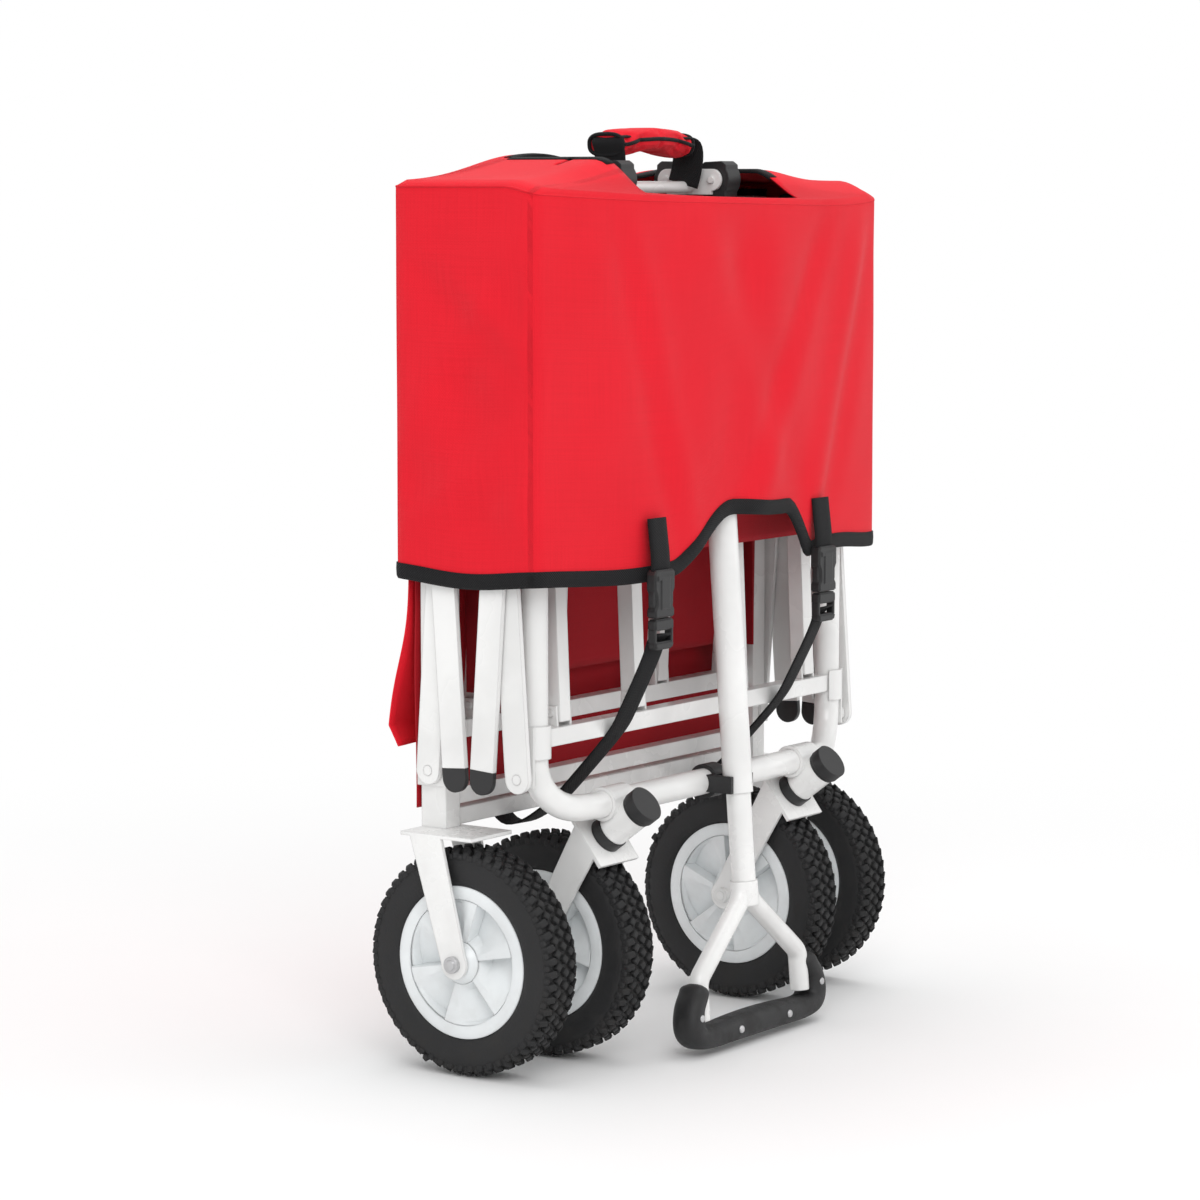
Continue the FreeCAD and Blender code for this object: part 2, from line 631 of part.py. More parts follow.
# The centre hinges: a pair of teardrop plates on each, pinned to both blocks, and one rod
# across that joins the two hinges and carries the carry strap.
plates = []
centre_pins = []
plate_gap = D.block_thick / 2 + D.side_gap
for index, x in enumerate((-D.inner_bar_x, D.inner_bar_x)):
    for hand, sign in SIDES:
        edge = x + sign * plate_gap - (D.plate_thick if sign < 0 else 0)
        name = "link_plate_%d_%s" % (index, hand)
        web = box(name + "_web", ("plate_thick", "hinge_spacing", "plate_radius + tie_drop"),
                  (edge, -hinge_y, hinge_height - D.tie_drop))
        rounds = [rod("%s_end_%d" % (name, end_sign), "plate_radius", "plate_thick",
                      (edge, end_sign * hinge_y, hinge_height), X_AXIS) for end_sign in (-1, 1)]
        holes = [rod("%s_hole_%d" % (name, end_sign), "pin_radius", "3 * plate_thick",
                     (edge - D.plate_thick, end_sign * hinge_y, hinge_height), X_AXIS)
                 for end_sign in (-1, 1)]
        holes.append(rod(name + "_tie_hole", "tie_radius", "3 * plate_thick",
                         (edge - D.plate_thick, 0, hinge_height - D.tie_drop + D.tie_radius + 1),
                         X_AXIS))
        plates.append(cut(name, join(name + "_steel", [web] + rounds), holes))
    for end_sign in (-1, 1):
        start = x - plate_gap - D.plate_thick - 2
        centre_pins.append(rod("centre_pin_%d_%d" % (index, end_sign), "pin_radius",
                               "block_thick + 2 * side_gap + 2 * plate_thick + 4",
                               (start, end_sign * hinge_y, hinge_height), X_AXIS))
tie_height = hinge_height - D.tie_drop + D.tie_radius + 1
tie_half = D.inner_bar_x + plate_gap + D.plate_thick
tie_rod = rod("hinge_tie_rod", "tie_radius", "%s" % (2 * tie_half), (-tie_half, 0, tie_height),
              X_AXIS)
node(group("centre_hinge_lot", plates + centre_pins + [tie_rod]), "centre_hinges")

# The carry strap loops round the rod and stands up through the cover's opening.
strap_low = tie_height + D.tie_radius + D.strap_thick / 2
carry_path = rounded_path(
    [(-D.carry_half, 0, strap_low), (-D.carry_half, 0, D.carry_top - D.strap_thick),
     (D.carry_half, 0, D.carry_top - D.strap_thick), (D.carry_half, 0, strap_low)],
    [14, 14])
carry = webbing(carry_path, Y_AXIS, D.strap_width, D.strap_thick)
node(made("carry_strap", carry), "carry_strap")
pad_low = D.carry_top - D.strap_thick - 5
pad = box("carry_pad_outside", ("2 * pad_half - 36", "strap_width + 6", "10"),
          (-D.pad_half + 18, -D.strap_width / 2 - 3, pad_low))
pad_slot = box("carry_pad_slot", ("2 * pad_half", "strap_width", "strap_thick"),
               (-D.pad_half, -D.strap_width / 2, D.carry_top - 1.5 * D.strap_thick))
node(cut("carry_pad", pad, [pad_slot]), "carry_pad")


# ---------------------------------------------------------------- side links
# On each side of each frame a pair of flat links crosses. The upper link hangs from a fixed
# pivot at the leg top, the lower one starts at a collar that slides on the leg.

def link(name, x, pivot, tip_down, lean, far_cap):
    """A flat link from its pivot; its own frame has the link along +Z."""
    reach = D.link_length - (8 if far_cap else 0)
    flat = box(name + "_flat", ("link_thick", "link_width", "%s" % reach),
               (0, -D.link_width / 2, 0))
    first = rod(name + "_round", "link_width / 2", "link_thick", (0, 0, 0), X_AXIS)
    holes = [rod("%s_hole_%d" % (name, index), "rivet_radius + running_gap", "3 * link_thick",
                 (-D.link_thick, 0, height), X_AXIS)
             for index, height in enumerate((0, link_cross))]
    solid = cut(name, join(name + "_steel", [flat, first]), holes)
    turn = Rotation(X_AXIS, lean + (180 if tip_down else 0))
    solid.Placement = Placement(Vector(x, pivot[0], pivot[1]), turn)
    cap_flat = box(name + "_cap_flat", ("link_thick", "link_width", "8"),
                   (0, -D.link_width / 2, reach))
    cap_round = rod(name + "_cap_round", "link_width / 2", "link_thick",
                    (0, 0, D.link_length), X_AXIS)
    trim = box(name + "_cap_trim", ("3 * link_thick", "2 * link_width", "link_width"),
               (-D.link_thick, -D.link_width, reach - D.link_width))
    cap = cut(name + "_cap", join(name + "_cap_solid", [cap_flat, cap_round]), [trim])
    cap.Placement = Placement(Vector(x, pivot[0], pivot[1]), turn)
    return solid, cap


side_links = {}
for end in ("rear", "front"):
    sense = tilts[end]
    y = sense * leg_y
    uppers = []
    lowers = []
    caps_up = []
    caps_low = []
    for side, sign in SIDES:
        x_in = inner_layer if sign > 0 else -inner_layer - D.link_thick
        x_out = outer_layer if sign > 0 else -outer_layer - D.link_thick
        upper, cap_up = link("%s_upper_%s" % (end, side), x_out, (y, D.link_top), True,
                             -sense * link_lean, True)
        lower, cap_low = link("%s_lower_%s" % (end, side), x_in, (y, D.collar_height), False,
                              sense * link_lean, True)
        uppers.append(upper)
        lowers.append(lower)
        caps_up.append(cap_up)
        caps_low.append(cap_low)
    side_links[end] = lowers
    node(group(end + "_upper_links_pair", uppers), end + "_upper_links")
    node(group(end + "_upper_link_caps", caps_up), end + "_upper_link_caps")
    node(group(end + "_lower_link_caps", caps_low), end + "_lower_link_caps")

# Rivets: a shouldered pin at each fixed top pivot, and one through each crossing.
rivet_tip = outer_layer + D.link_thick + D.side_gap
for end in ("rear", "front"):
    y = tilts[end] * leg_y
    leg_face = rear_leg_outside if end == "rear" else D.front_leg_x + D.front_leg_radius - 0.5
    top_pins = []
    cross_pins = []
    cross_y = tilts[end] * (leg_y - link_cross * math.sin(math.radians(link_lean)))
    cross_z = (D.link_top + D.collar_height) / 2
    for side, sign in SIDES:
        turn = X_AXIS * sign
        name = "%s_top_pin_%s" % (end, side)
        shoulder = rod(name + "_shoulder", "rivet_radius + 3", "%s" % (outer_layer - D.side_gap
                       - leg_face), (sign * leg_face, y, D.link_top), turn)
        shank = rod(name + "_shank", "rivet_radius", "%s" % (rivet_tip - leg_face),
                    (sign * leg_face, y, D.link_top), turn)
        head = rod(name + "_head", "rivet_radius + 3", "rivet_head",
                   (sign * rivet_tip, y, D.link_top), turn)
        solid = join(name, [shoulder, shank, head])
        if end == "front":
            leg = rod(name + "_leg", "front_leg_radius", "60", (sign * D.front_leg_x, y,
                      D.link_top - 30))
            solid = cut(name + "_coped", solid, [leg])
        top_pins.append(solid)
        name = "%s_cross_pin_%s" % (end, side)
        inner_face = inner_layer
        shank = rod(name + "_shank", "rivet_radius", "%s" % (rivet_tip - inner_face),
                    (sign * inner_face, cross_y, cross_z), turn)
        head = rod(name + "_head", "rivet_radius + 3", "rivet_head",
                   (sign * rivet_tip, cross_y, cross_z), turn)
        cross_pins.append(join(name, [shank, head]))
    node(group(end + "_lower_links_lot", side_links[end] + cross_pins), end + "_lower_links")
    if end == "rear":
        node(group("rear_frame_bolts_lot", top_pins + rear_bolts), "rear_frame_bolts")
    else:
        node(group("front_top_pins_pair", top_pins), "front_top_pins")

# Collars: open channels that slide on the legs; the open side faces inwards past the rails.
# Each carries the rivet of its lower link.
for end in ("rear", "front"):
    y = tilts[end] * leg_y
    collars = []
    for side, sign in SIDES:
        name = "%s_collar_%s" % (end, side)
        low = D.collar_height - D.collar_tall / 2
        if end == "rear":
            deep = D.rear_leg_deep + 2 * D.collar_gap + 2 * D.collar_wall
            wide = D.rear_leg_thick / 2 + D.collar_gap + D.collar_wall
            x = D.rear_leg_x if sign > 0 else -D.rear_leg_x - wide
            shell = box(name + "_shell", ("%s" % wide, "%s" % deep, "collar_tall"),
                        (x, y - deep / 2, low))
            bore = box(name + "_bore", ("%s" % (D.rear_leg_thick / 2 + D.collar_gap + 20),
                       "rear_leg_deep + 2 * collar_gap", "2 * collar_tall"),
                       (D.rear_leg_x - 20 if sign > 0 else
                        -D.rear_leg_x - D.rear_leg_thick / 2 - D.collar_gap,
                        y - D.rear_leg_deep / 2 - D.collar_gap, low - D.collar_tall / 2))
            outside = D.rear_leg_x + wide
        else:
            low += D.front_collar_rise
            ring = rod(name + "_ring", "front_leg_radius + collar_gap + collar_wall",
                       "collar_tall", (sign * D.front_leg_x, y, low))
            outside = D.front_leg_x + D.front_leg_radius + D.collar_gap + D.collar_wall - 0.8
            lug_x = outside - 1.2 if sign > 0 else -outside - D.collar_wall + 1.2
            lug = box(name + "_lug", ("collar_wall", "2 * rivet_radius + 8",
                      "front_collar_rise + collar_tall / 2 + rivet_radius + 4"),
                      (lug_x, y - D.rivet_radius - 4, D.collar_height - D.rivet_radius - 4))
            shell = join(name + "_shell", [ring, lug])
            hole = rod(name + "_hole", "front_leg_radius + collar_gap", "3 * collar_tall",
                       (sign * D.front_leg_x, y, low - D.collar_tall))
            mouth_x = D.front_leg_x - 20 if sign > 0 else -D.front_leg_x
            mouth = box(name + "_mouth", ("20", "bar_side + 2", "2 * collar_tall"),
                        (mouth_x, y - half_bar - 1, low - D.collar_tall / 2))
            bore = join(name + "_bore", [hole, mouth])
        turn = X_AXIS * sign
        boss = rod(name + "_boss", "rivet_radius + 3", "%s" % (inner_layer - D.side_gap - outside),
                   (sign * outside, y, D.collar_height), turn)
        shank = rod(name + "_shank", "rivet_radius", "%s" % (inner_layer + D.link_thick
                    + 0.5 * D.layer_gap - outside), (sign * outside, y, D.collar_height), turn)
        collars.append(cut(name, join(name + "_steel", [shell, boss, shank]), [bore]))
    node(group(end + "_collars", collars), end + "_collars")


# ---------------------------------------------------------------- caster heads and casters
# A sleeve on the beam carries each head tube. Heights run along the swivel axis from the axle.

tilt = math.radians(D.head_tilt)
swivel_up = Vector(0, -math.sin(tilt), math.cos(tilt))
swivel_back = Vector(0, math.cos(tilt), math.sin(tilt))
beam_from_axle = Vector(0, beam_y, D.beam_height) - front_axle
caster_trail = beam_from_axle.dot(swivel_back) - D.swivel_offset
plate_low = D.wheel_radius + D.tyre_clearance
bush_low = plate_low + D.fork_wall + D.stem_gap
head_low = bush_low + D.bush_length + D.stem_gap
beam_along_stem = beam_from_axle.dot(swivel_up)
cap_low = beam_along_stem + D.front_leg_radius + D.sleeve_wall + D.head_rise
head_length = cap_low - head_low


def stem_point(sign, height):
    point = front_axle + swivel_up * height + swivel_back * caster_trail
    return (sign * D.front_track / 2, point.y, point.z)


heads = []
head_caps = []
for side, sign in SIDES:
    name = "caster_head_" + side
    centre_x = sign * D.front_track / 2
    tube = rod(name + "_tube", "head_radius", "%s" % head_length, stem_point(sign, head_low), swivel_up)
    sleeve = rod(name + "_sleeve", "front_leg_radius + sleeve_wall", "sleeve_length",
                 (centre_x - D.sleeve_length / 2, beam_y, D.beam_height), X_AXIS)
    beam_hole = rod(name + "_beam_hole", "front_leg_radius + running_gap", "2 * sleeve_length",
                    (centre_x - D.sleeve_length, beam_y, D.beam_height), X_AXIS)
    stem_hole = rod(name + "_stem_hole", "kingpin_radius + running_gap", "%s" % (2 * head_length),
                    stem_point(sign, head_low - head_length / 2), swivel_up)
    heads.append(cut(name, join(name + "_steel", [tube, sleeve]), [beam_hole, stem_hole]))
    skirt = rod("head_cap_skirt_" + side, "head_radius + 1.5", "head_cap_length - 3",
                stem_point(sign, cap_low + 3), swivel_up)
    collar = rod("head_cap_collar_" + side, "head_radius + 0.5", "3", stem_point(sign, cap_low),
                 swivel_up)
    pocket = rod("head_cap_pocket_" + side, "kingpin_radius + 1", "6",
                 stem_point(sign, cap_low - 1), swivel_up)
    head_caps.append(cut("head_cap_" + side, join("head_cap_solid_" + side, [skirt, collar]),
                         [pocket]))
    kingpin_height = D.fork_wall + D.stem_gap + D.bush_length + D.stem_gap + head_length
    kingpin = rod("kingpin_" + side, "kingpin_radius", "%s" % (kingpin_height + 2),
                  stem_point(sign, plate_low), swivel_up)
    bush = rod("caster_bush_ring_" + side, "head_radius + 1", "bush_length",
               stem_point(sign, bush_low), swivel_up)
    bush_hole = rod("caster_bush_hole_" + side, "kingpin_radius", "2 * bush_length",
                    stem_point(sign, bush_low - D.bush_length / 2), swivel_up)
    node(cut("caster_bush_" + side, bush, [bush_hole]), "caster_bush_" + side)
    steel = fork("caster_fork_steel_" + side, centre_x, front_axle, swivel_up, swivel_back,
                 caster_trail, plate_low, (caster_trail - 24, caster_trail + 20))
    pin_hole = rod("caster_fork_pin_hole_" + side, "kingpin_radius", "20",
                   stem_point(sign, plate_low - 5), swivel_up)
    yoke = cut("caster_yoke_" + side, steel, [pin_hole])
    node(group("caster_fork_lot_" + side, [yoke, kingpin, caster_bolts[side]]),
         "caster_fork_" + side)
node(group("caster_heads_pair", heads), "caster_heads")
node(group("caster_head_caps_pair", head_caps), "caster_head_caps")


# ---------------------------------------------------------------- handle
# An outer tube hangs from a pin; the inner tube slides in it and forks to a moulded grip.
# Their own frame has the pin at its origin and the handle along -Z.

handle_y = -leg_y - D.handle_pivot_forward
handle_place = Placement(Vector(0, handle_y, D.handle_bar_height),
                         Rotation(X_AXIS, -D.handle_lean))

ears = []
for side, sign in SIDES:
    edge = sign * (D.outer_tube_radius + D.side_gap) - (D.fork_wall if sign < 0 else 0)
    back_y = handle_bar_y - D.handle_bar_deep / 2
    corners = [(edge, back_y, D.handle_bar_height - half_bar),
               (edge, back_y, D.handle_bar_height + half_bar),
               (edge, handle_y - 10, D.handle_bar_height + 8),
               (edge, handle_y - 10, D.handle_bar_height - 8)]
    ears.append(prism("handle_ear_" + side, corners, X_AXIS, "fork_wall"))
ear_back = box("handle_ear_back", ("2 * outer_tube_radius + 2 * side_gap + 2 * fork_wall",
               "1.5", "bar_side"), (-D.outer_tube_radius - D.side_gap - D.fork_wall,
               handle_bar_y - D.handle_bar_deep / 2 - 1.5, D.handle_bar_height - half_bar))
ear_hole = rod("handle_ear_hole", "axle_radius", "80", (-40, handle_y, D.handle_bar_height), X_AXIS)
bracket = cut("handle_bracket_bored", join("handle_bracket_steel", ears + [ear_back]), [ear_hole])
pin_half = D.outer_tube_radius + D.side_gap + D.fork_wall + 3
handle_pin = rod("handle_pin", "axle_radius", "%s" % (2 * pin_half),
                 (-pin_half, handle_y, D.handle_bar_height), X_AXIS)
node(group("handle_bracket_lot", [bracket, handle_pin]), "handle_bracket")

outer = rod("handle_outer_outside", "outer_tube_radius", "outer_tube_length + axle_radius + 3",
            (0, 0, -D.outer_tube_length))
bore = rod("handle_outer_bore", "inner_tube_radius + running_gap", "outer_tube_length - 14",
           (0, 0, -D.outer_tube_length))
pin_hole = rod("handle_outer_pin_hole", "axle_radius + running_gap", "80", (-40, 0, 0), X_AXIS)
outer_tube = cut("handle_outer_tube", outer, [bore, pin_hole])
outer_tube.Placement = handle_place
node(outer_tube, "handle_outer_tube")

inner_length = "fork_start - inner_tube_start"
inner = rod("handle_inner_outside", "inner_tube_radius", inner_length, (0, 0, -D.fork_start))
hollow = rod("handle_inner_bore", "inner_tube_radius - tube_wall", inner_length,
             (0, 0, -D.fork_start))
inner_tube = cut("handle_inner_tube", inner, [hollow])
inner_tube.Placement = handle_place
node(inner_tube, "handle_inner_tube")

fork_legs = []
for sign in (-1, 1):
    path = rounded_path(
        [(sign * 0.5 * D.inner_tube_radius, 0, -D.fork_start + 12),
         (sign * 0.5 * D.inner_tube_radius, 0, -D.fork_start - 14),
         (sign * D.fork_spread, 0, -D.fork_shoulder),
         (sign * D.fork_spread, 0, -D.grip_end + 20)],
        [22, 14])
    fork_legs.append(pipe(path, D.fork_leg_radius))
crotch = Part.makeCylinder(D.inner_tube_radius + 1.5, 20, Vector(0, 0, -D.fork_start - 20))
outer_skin = fork_legs[0].fuse([fork_legs[1], crotch])
keep = Part.makeBox(400, 60, 300, Vector(-200, -30, -D.fork_start - 300))
node(made("handle_fork", outer_skin.common(keep), handle_place), "handle_fork")


def grip_half(name, near, far):
    """One half of the moulded grip: two arms and a bar, rounded, from y near to y far."""
    half = D.grip_half
    arm = D.grip_arm
    top = -D.grip_start
    low = -D.grip_end
    bar = low + D.grip_bar_tall
    outline = [(-half, top), (-half + arm * 0.8, top), (-half + arm, bar + 10),
               (-half + arm + 12, bar), (half - arm - 12, bar), (half - arm, bar + 10),
               (half - arm * 0.8, top), (half, top), (half, low + 14), (half - 14, low),
               (-half + 14, low), (-half, low + 14)]
    shell = prism(name + "_solid", [(x, near, z) for x, z in outline], Y_AXIS,
                  "%s" % (far - near))
    bores = [rod("%s_bore_%d" % (name, sign), "fork_leg_radius", "grip_end - grip_start",
                 (sign * D.fork_spread, 0, -D.grip_end + 20)) for sign in (-1, 1)]
    half_shell = cut(name, shell, bores)
    half_shell.Placement = handle_place
    node(half_shell, name)


grip_half("grip_front_half", -D.grip_deep / 2, 0)
grip_half("grip_rear_half", 0, D.grip_deep / 2)
screws = []
for index, (x, drop) in enumerate(((-D.fork_spread, 20), (D.fork_spread, 20),
                                   (-0.3 * D.grip_half, 14), (0.3 * D.grip_half, 14))):
    screws.append(rod("grip_screw_%d" % index, "3.5", "1.5",
                      (x, -D.grip_deep / 2 - 1.5, -D.grip_end + drop), Y_AXIS))
screw_lot = group("grip_screws", screws)
screw_lot.Placement = handle_place
node(screw_lot, "grip_screws")

# The clip snaps round the beam and its open jaw holds the folded handle.
tube_y = handle_y - (D.handle_bar_height - D.beam_height) * math.tan(math.radians(D.handle_lean))
jaw_half = D.outer_tube_radius + 0.8
ring = rod("clip_ring", "front_leg_radius + clip_wall", "clip_width",
           (-D.clip_width / 2, beam_y, D.beam_height), X_AXIS)
base_depth = tube_y + D.outer_tube_radius + 1.2
jaw_back = box("clip_back", ("2 * outer_tube_radius + 1.6 + 2 * clip_wall", "%s" % (beam_y
               - 8 - base_depth), "14"), (-jaw_half - D.clip_wall, base_depth, D.beam_height - 7))
arms = [box("clip_arm_" + side, ("clip_wall", "%s" % (beam_y - 8 - tube_y + 4), "14"),
            (sign * jaw_half - (D.clip_wall if sign < 0 else 0), tube_y - 4, D.beam_height - 7))
        for side, sign in SIDES]
beam_room = rod("clip_beam_room", "front_leg_radius", "80", (-40, beam_y, D.beam_height), X_AXIS)
node(cut("handle_clip", join("handle_clip_body", [ring, jaw_back] + arms), [beam_room]),
     "handle_clip")


# ---------------------------------------------------------------- tub cloth
# The rear wall hangs behind the rear frame, the front wall above the handle's bracket.

wall_half = D.rear_leg_x + D.rear_leg_thick / 2
rear_wall_y = leg_y + D.rear_leg_deep / 2 + D.collar_gap + D.collar_wall + 0.5
wall_low = 204
node(box("rear_wall_cloth", ("%s" % (2 * wall_half), "cloth", "leg_top - %d" % (wall_low + 8)),
         (-wall_half, rear_wall_y, wall_low)), "rear_wall_cloth")
front_wall_y = -leg_y - D.top_rail_shift - half_bar - 1 - D.cloth
front_wall_low = D.handle_bar_height + 20
node(box("front_wall_cloth", ("2 * front_leg_x", "cloth", "%s" % (D.leg_top - 8
         - front_wall_low)), (-D.front_leg_x, front_wall_y, front_wall_low)), "front_wall_cloth")
pocket_y = rear_wall_y + D.cloth + 0.5
pocket = prism("rear_pocket", [(-wall_half, pocket_y, 258), (-wall_half, pocket_y + D.pocket_deep, 262),
               (-wall_half, pocket_y + 6, 384), (-wall_half, pocket_y, 384)],
               X_AXIS, "%s" % (2 * wall_half))
node(pocket, "rear_pocket")


# ---------------------------------------------------------------- cover, straps and buckles
# An open-bottomed box of cloth with a bowed front, an opening in its top and an arched
# cut-out over the handle.

bow_radius = (cover_half ** 2 + D.cover_bulge ** 2) / (2 * D.cover_bulge)


def cover_block(name, inset, low):
    high = cover_top - inset
    block = box(name + "_block", ("%s" % (2 * cover_half - 2 * inset),
                "%s" % (cover_front + cover_rear - 2 * inset), "%s" % (high - low)),
                (-cover_half + inset, -cover_front + inset, low))
    bow = rod(name + "_bow", "%s" % (bow_radius - inset), "%s" % (high - low),
              (0, bow_radius - cover_front, low))
    form = doc.addObject("Part::Common", name)
    form.Base = block
    form.Tool = bow
    return form


cover_outside = cover_block("cover_outside", 0, D.cover_hem)
cover_inside = cover_block("cover_inside", D.cloth, D.cover_hem - 10)
slot = box("cover_slot", ("slot_left + slot_right", "105", "60"),
           (-D.slot_left, -60, cover_top - 30))
arch_low = D.cover_hem - 5
arch = prism("cover_arch", [(-100, -120, arch_low), (110, -120, arch_low), (104, -120, 402),
             (60, -120, D.arch_height), (-45, -120, D.arch_height), (-82, -120, 396)],
             Y_AXIS, "90")
node(cut("cover", cover_outside, [cover_inside, slot, arch]), "cover")

sockets = []
webs = []
for side, sign in SIDES:
    x = sign * D.strap_x
    front_y = bow_radius - cover_front - math.sqrt(
        bow_radius ** 2 - (D.strap_x - D.buckle_width / 2) ** 2)
    buckle_y = front_y - D.buckle_thick - 1.5
    socket = box("buckle_socket_solid_" + side, ("buckle_width", "buckle_thick", "socket_length"),
                 (x - D.buckle_width / 2, buckle_y, D.buckle_top - D.socket_length))
    room = box("buckle_socket_room_" + side, ("buckle_width - 6", "buckle_thick - 5",
               "socket_length"), (x - D.buckle_width / 2 + 3, buckle_y + 2.5,
               D.buckle_top - D.socket_length - 6))
    sockets.append(cut("buckle_socket_" + side, socket, [room]))
    body_low = D.buckle_top - D.socket_length - 0.5 - D.plug_length
    body = box("buckle_plug_body_" + side, ("buckle_width - 4", "buckle_thick - 2", "plug_length"),
               (x - D.buckle_width / 2 + 2, buckle_y + 1, body_low))
    prong = box("buckle_prong_" + side, ("buckle_width - 10", "buckle_thick - 7", "24"),
                (x - D.buckle_width / 2 + 5, buckle_y + 3.5, body_low + D.plug_length - 1))
    window = box("buckle_window_" + side, ("buckle_width - 12", "2 * buckle_thick", "5"),
                 (x - D.buckle_width / 2 + 6, buckle_y - 5, body_low + 14))
    node(cut("buckle_plug_" + side, join("buckle_plug_solid_" + side, [body, prong]), [window]),
         "buckle_plug_" + side)
    webs.append(box("buckle_tab_" + side, ("tab_width", "strap_thick", "52"),
                    (x - D.tab_width / 2, front_y - D.strap_thick - 1.2, D.buckle_top + 0.5)))
    strap_y = buckle_y + D.buckle_thick / 2
    route = [(x, strap_y, body_low - 1.5), (x, strap_y, body_low - 12),
             (x, -leg_y - half_bar - 9, D.rail_height - 3),
             (x, 14, 196), (x, leg_y, 183), (x, leg_y + 15, 185),
             (x, pocket_y + D.pocket_deep + 5, 250),
             (x, cover_rear + 2, D.cover_hem + 6)]
    path = rounded_path(route, [14, 22, 40, 5, 8, 12])
    webs.append(made("lower_strap_" + side, webbing(path, X_AXIS, D.strap_width, D.strap_thick)))
node(group("buckle_sockets_pair", sockets), "buckle_sockets")
node(group("cover_webbing_lot", webs), "cover_webbing")


# ---------------------------------------------------------------- check and write

doc.recompute()
faults = [obj.Name for obj in doc.Objects if "Invalid" in obj.State or "Error" in obj.State]
if faults:
    raise RuntimeError("failed objects: %s" % ", ".join(faults))
for obj in nodes:
    if obj.Shape.isNull() or not obj.Shape.isValid() or not obj.Shape.Solids:
        raise RuntimeError("bad shape: %s" % obj.Label)
os.makedirs("parts", exist_ok=True)
for obj in nodes:
    obj.Shape.exportStep(os.path.join("parts", obj.Label + ".step"))
print("nodes", len(nodes))
print("base_lean %.4f hinge_height %.3f link_lean %.4f link_cross %.3f"
      % (base_lean, hinge_height, link_lean, link_cross))
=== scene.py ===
import json
import math

import bmesh
import bpy
import numpy as np
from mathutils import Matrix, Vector

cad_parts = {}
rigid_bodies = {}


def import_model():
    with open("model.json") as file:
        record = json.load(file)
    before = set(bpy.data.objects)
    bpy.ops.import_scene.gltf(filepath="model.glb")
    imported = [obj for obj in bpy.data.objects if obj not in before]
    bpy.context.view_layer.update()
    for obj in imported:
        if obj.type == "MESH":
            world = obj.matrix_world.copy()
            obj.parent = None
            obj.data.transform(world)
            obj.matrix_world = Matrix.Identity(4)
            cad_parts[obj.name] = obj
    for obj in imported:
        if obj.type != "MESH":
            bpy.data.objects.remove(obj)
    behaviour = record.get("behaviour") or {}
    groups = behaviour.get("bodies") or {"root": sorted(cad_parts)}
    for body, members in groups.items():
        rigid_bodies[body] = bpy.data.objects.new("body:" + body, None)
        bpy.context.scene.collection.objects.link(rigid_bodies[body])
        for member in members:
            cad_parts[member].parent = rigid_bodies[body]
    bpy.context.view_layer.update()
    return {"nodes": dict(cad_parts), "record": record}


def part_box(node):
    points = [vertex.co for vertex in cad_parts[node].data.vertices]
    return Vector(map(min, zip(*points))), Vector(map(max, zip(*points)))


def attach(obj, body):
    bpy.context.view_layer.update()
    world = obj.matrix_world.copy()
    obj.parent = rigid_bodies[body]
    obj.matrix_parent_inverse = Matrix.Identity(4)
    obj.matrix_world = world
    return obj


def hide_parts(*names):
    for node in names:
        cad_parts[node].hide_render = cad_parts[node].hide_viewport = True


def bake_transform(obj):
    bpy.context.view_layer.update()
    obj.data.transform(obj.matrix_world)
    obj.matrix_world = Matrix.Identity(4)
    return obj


# ---------------------------------------------------------------- frame and camera
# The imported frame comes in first, then the camera that looks at the folded wagon from the
# left of its handle side, a little above the floor.
scene = bpy.context.scene
for old in list(bpy.data.objects):
    bpy.data.objects.remove(old)
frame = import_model()
nodes = frame["nodes"]

camera = bpy.data.objects.new("camera", bpy.data.cameras.new("camera"))
scene.collection.objects.link(camera)
camera.location = (-2.610, -1.791, 0.693)
camera.rotation_euler = (math.radians(90 - 6.16), 0, math.radians(-54.87))
camera.data.lens = 116.58
camera.data.sensor_width = 36
camera.data.dof.use_dof = False
scene.camera = camera


# ---------------------------------------------------------------- frame, links, axles and caps
# The wagon's legs, rails, links, collars, forks and handle tubes are steel, painted white. Its
# bolts and top pins are zinc plated, and its caps, bushes, clip and hinge blocks are moulded
# black plastic.

def math_of(tree, operation, *values):
    """The output of a Math node whose inputs are numbers or sockets."""
    node = tree.nodes.new("ShaderNodeMath")
    node.operation = operation
    for index, value in enumerate(values):
        if isinstance(value, (int, float)):
            node.inputs[index].default_value = value
        else:
            tree.links.new(value, node.inputs[index])
    return node.outputs[0]


def noise_of(tree, vector, scale, detail=4, roughness=0.55):
    """The value of a Noise Texture on that vector."""
    node = tree.nodes.new("ShaderNodeTexNoise")
    node.inputs["Scale"].default_value = scale
    node.inputs["Detail"].default_value = detail
    node.inputs["Roughness"].default_value = roughness
    tree.links.new(vector, node.inputs["Vector"])
    return node.outputs["Fac"]


def ramp_of(tree, value, low, high):
    """That value stretched so that low becomes 0 and high becomes 1, with soft ends."""
    node = tree.nodes.new("ShaderNodeMapRange")
    node.interpolation_type = "SMOOTHSTEP"
    node.inputs["From Min"].default_value = low
    node.inputs["From Max"].default_value = high
    tree.links.new(value, node.inputs["Value"])
    return node.outputs["Result"]


def new_group(name, inputs, outputs):
    """A shader node group with number inputs, and outputs given as (label, type)."""
    tree = bpy.data.node_groups.new(name, "ShaderNodeTree")
    for label, value in inputs:
        socket = tree.interface.new_socket(name=label, in_out="INPUT",
                                           socket_type="NodeSocketFloat")
        socket.default_value = value
    for label, kind in outputs:
        tree.interface.new_socket(name=label, in_out="OUTPUT", socket_type=kind)
    return tree, tree.nodes.new("NodeGroupInput"), tree.nodes.new("NodeGroupOutput")


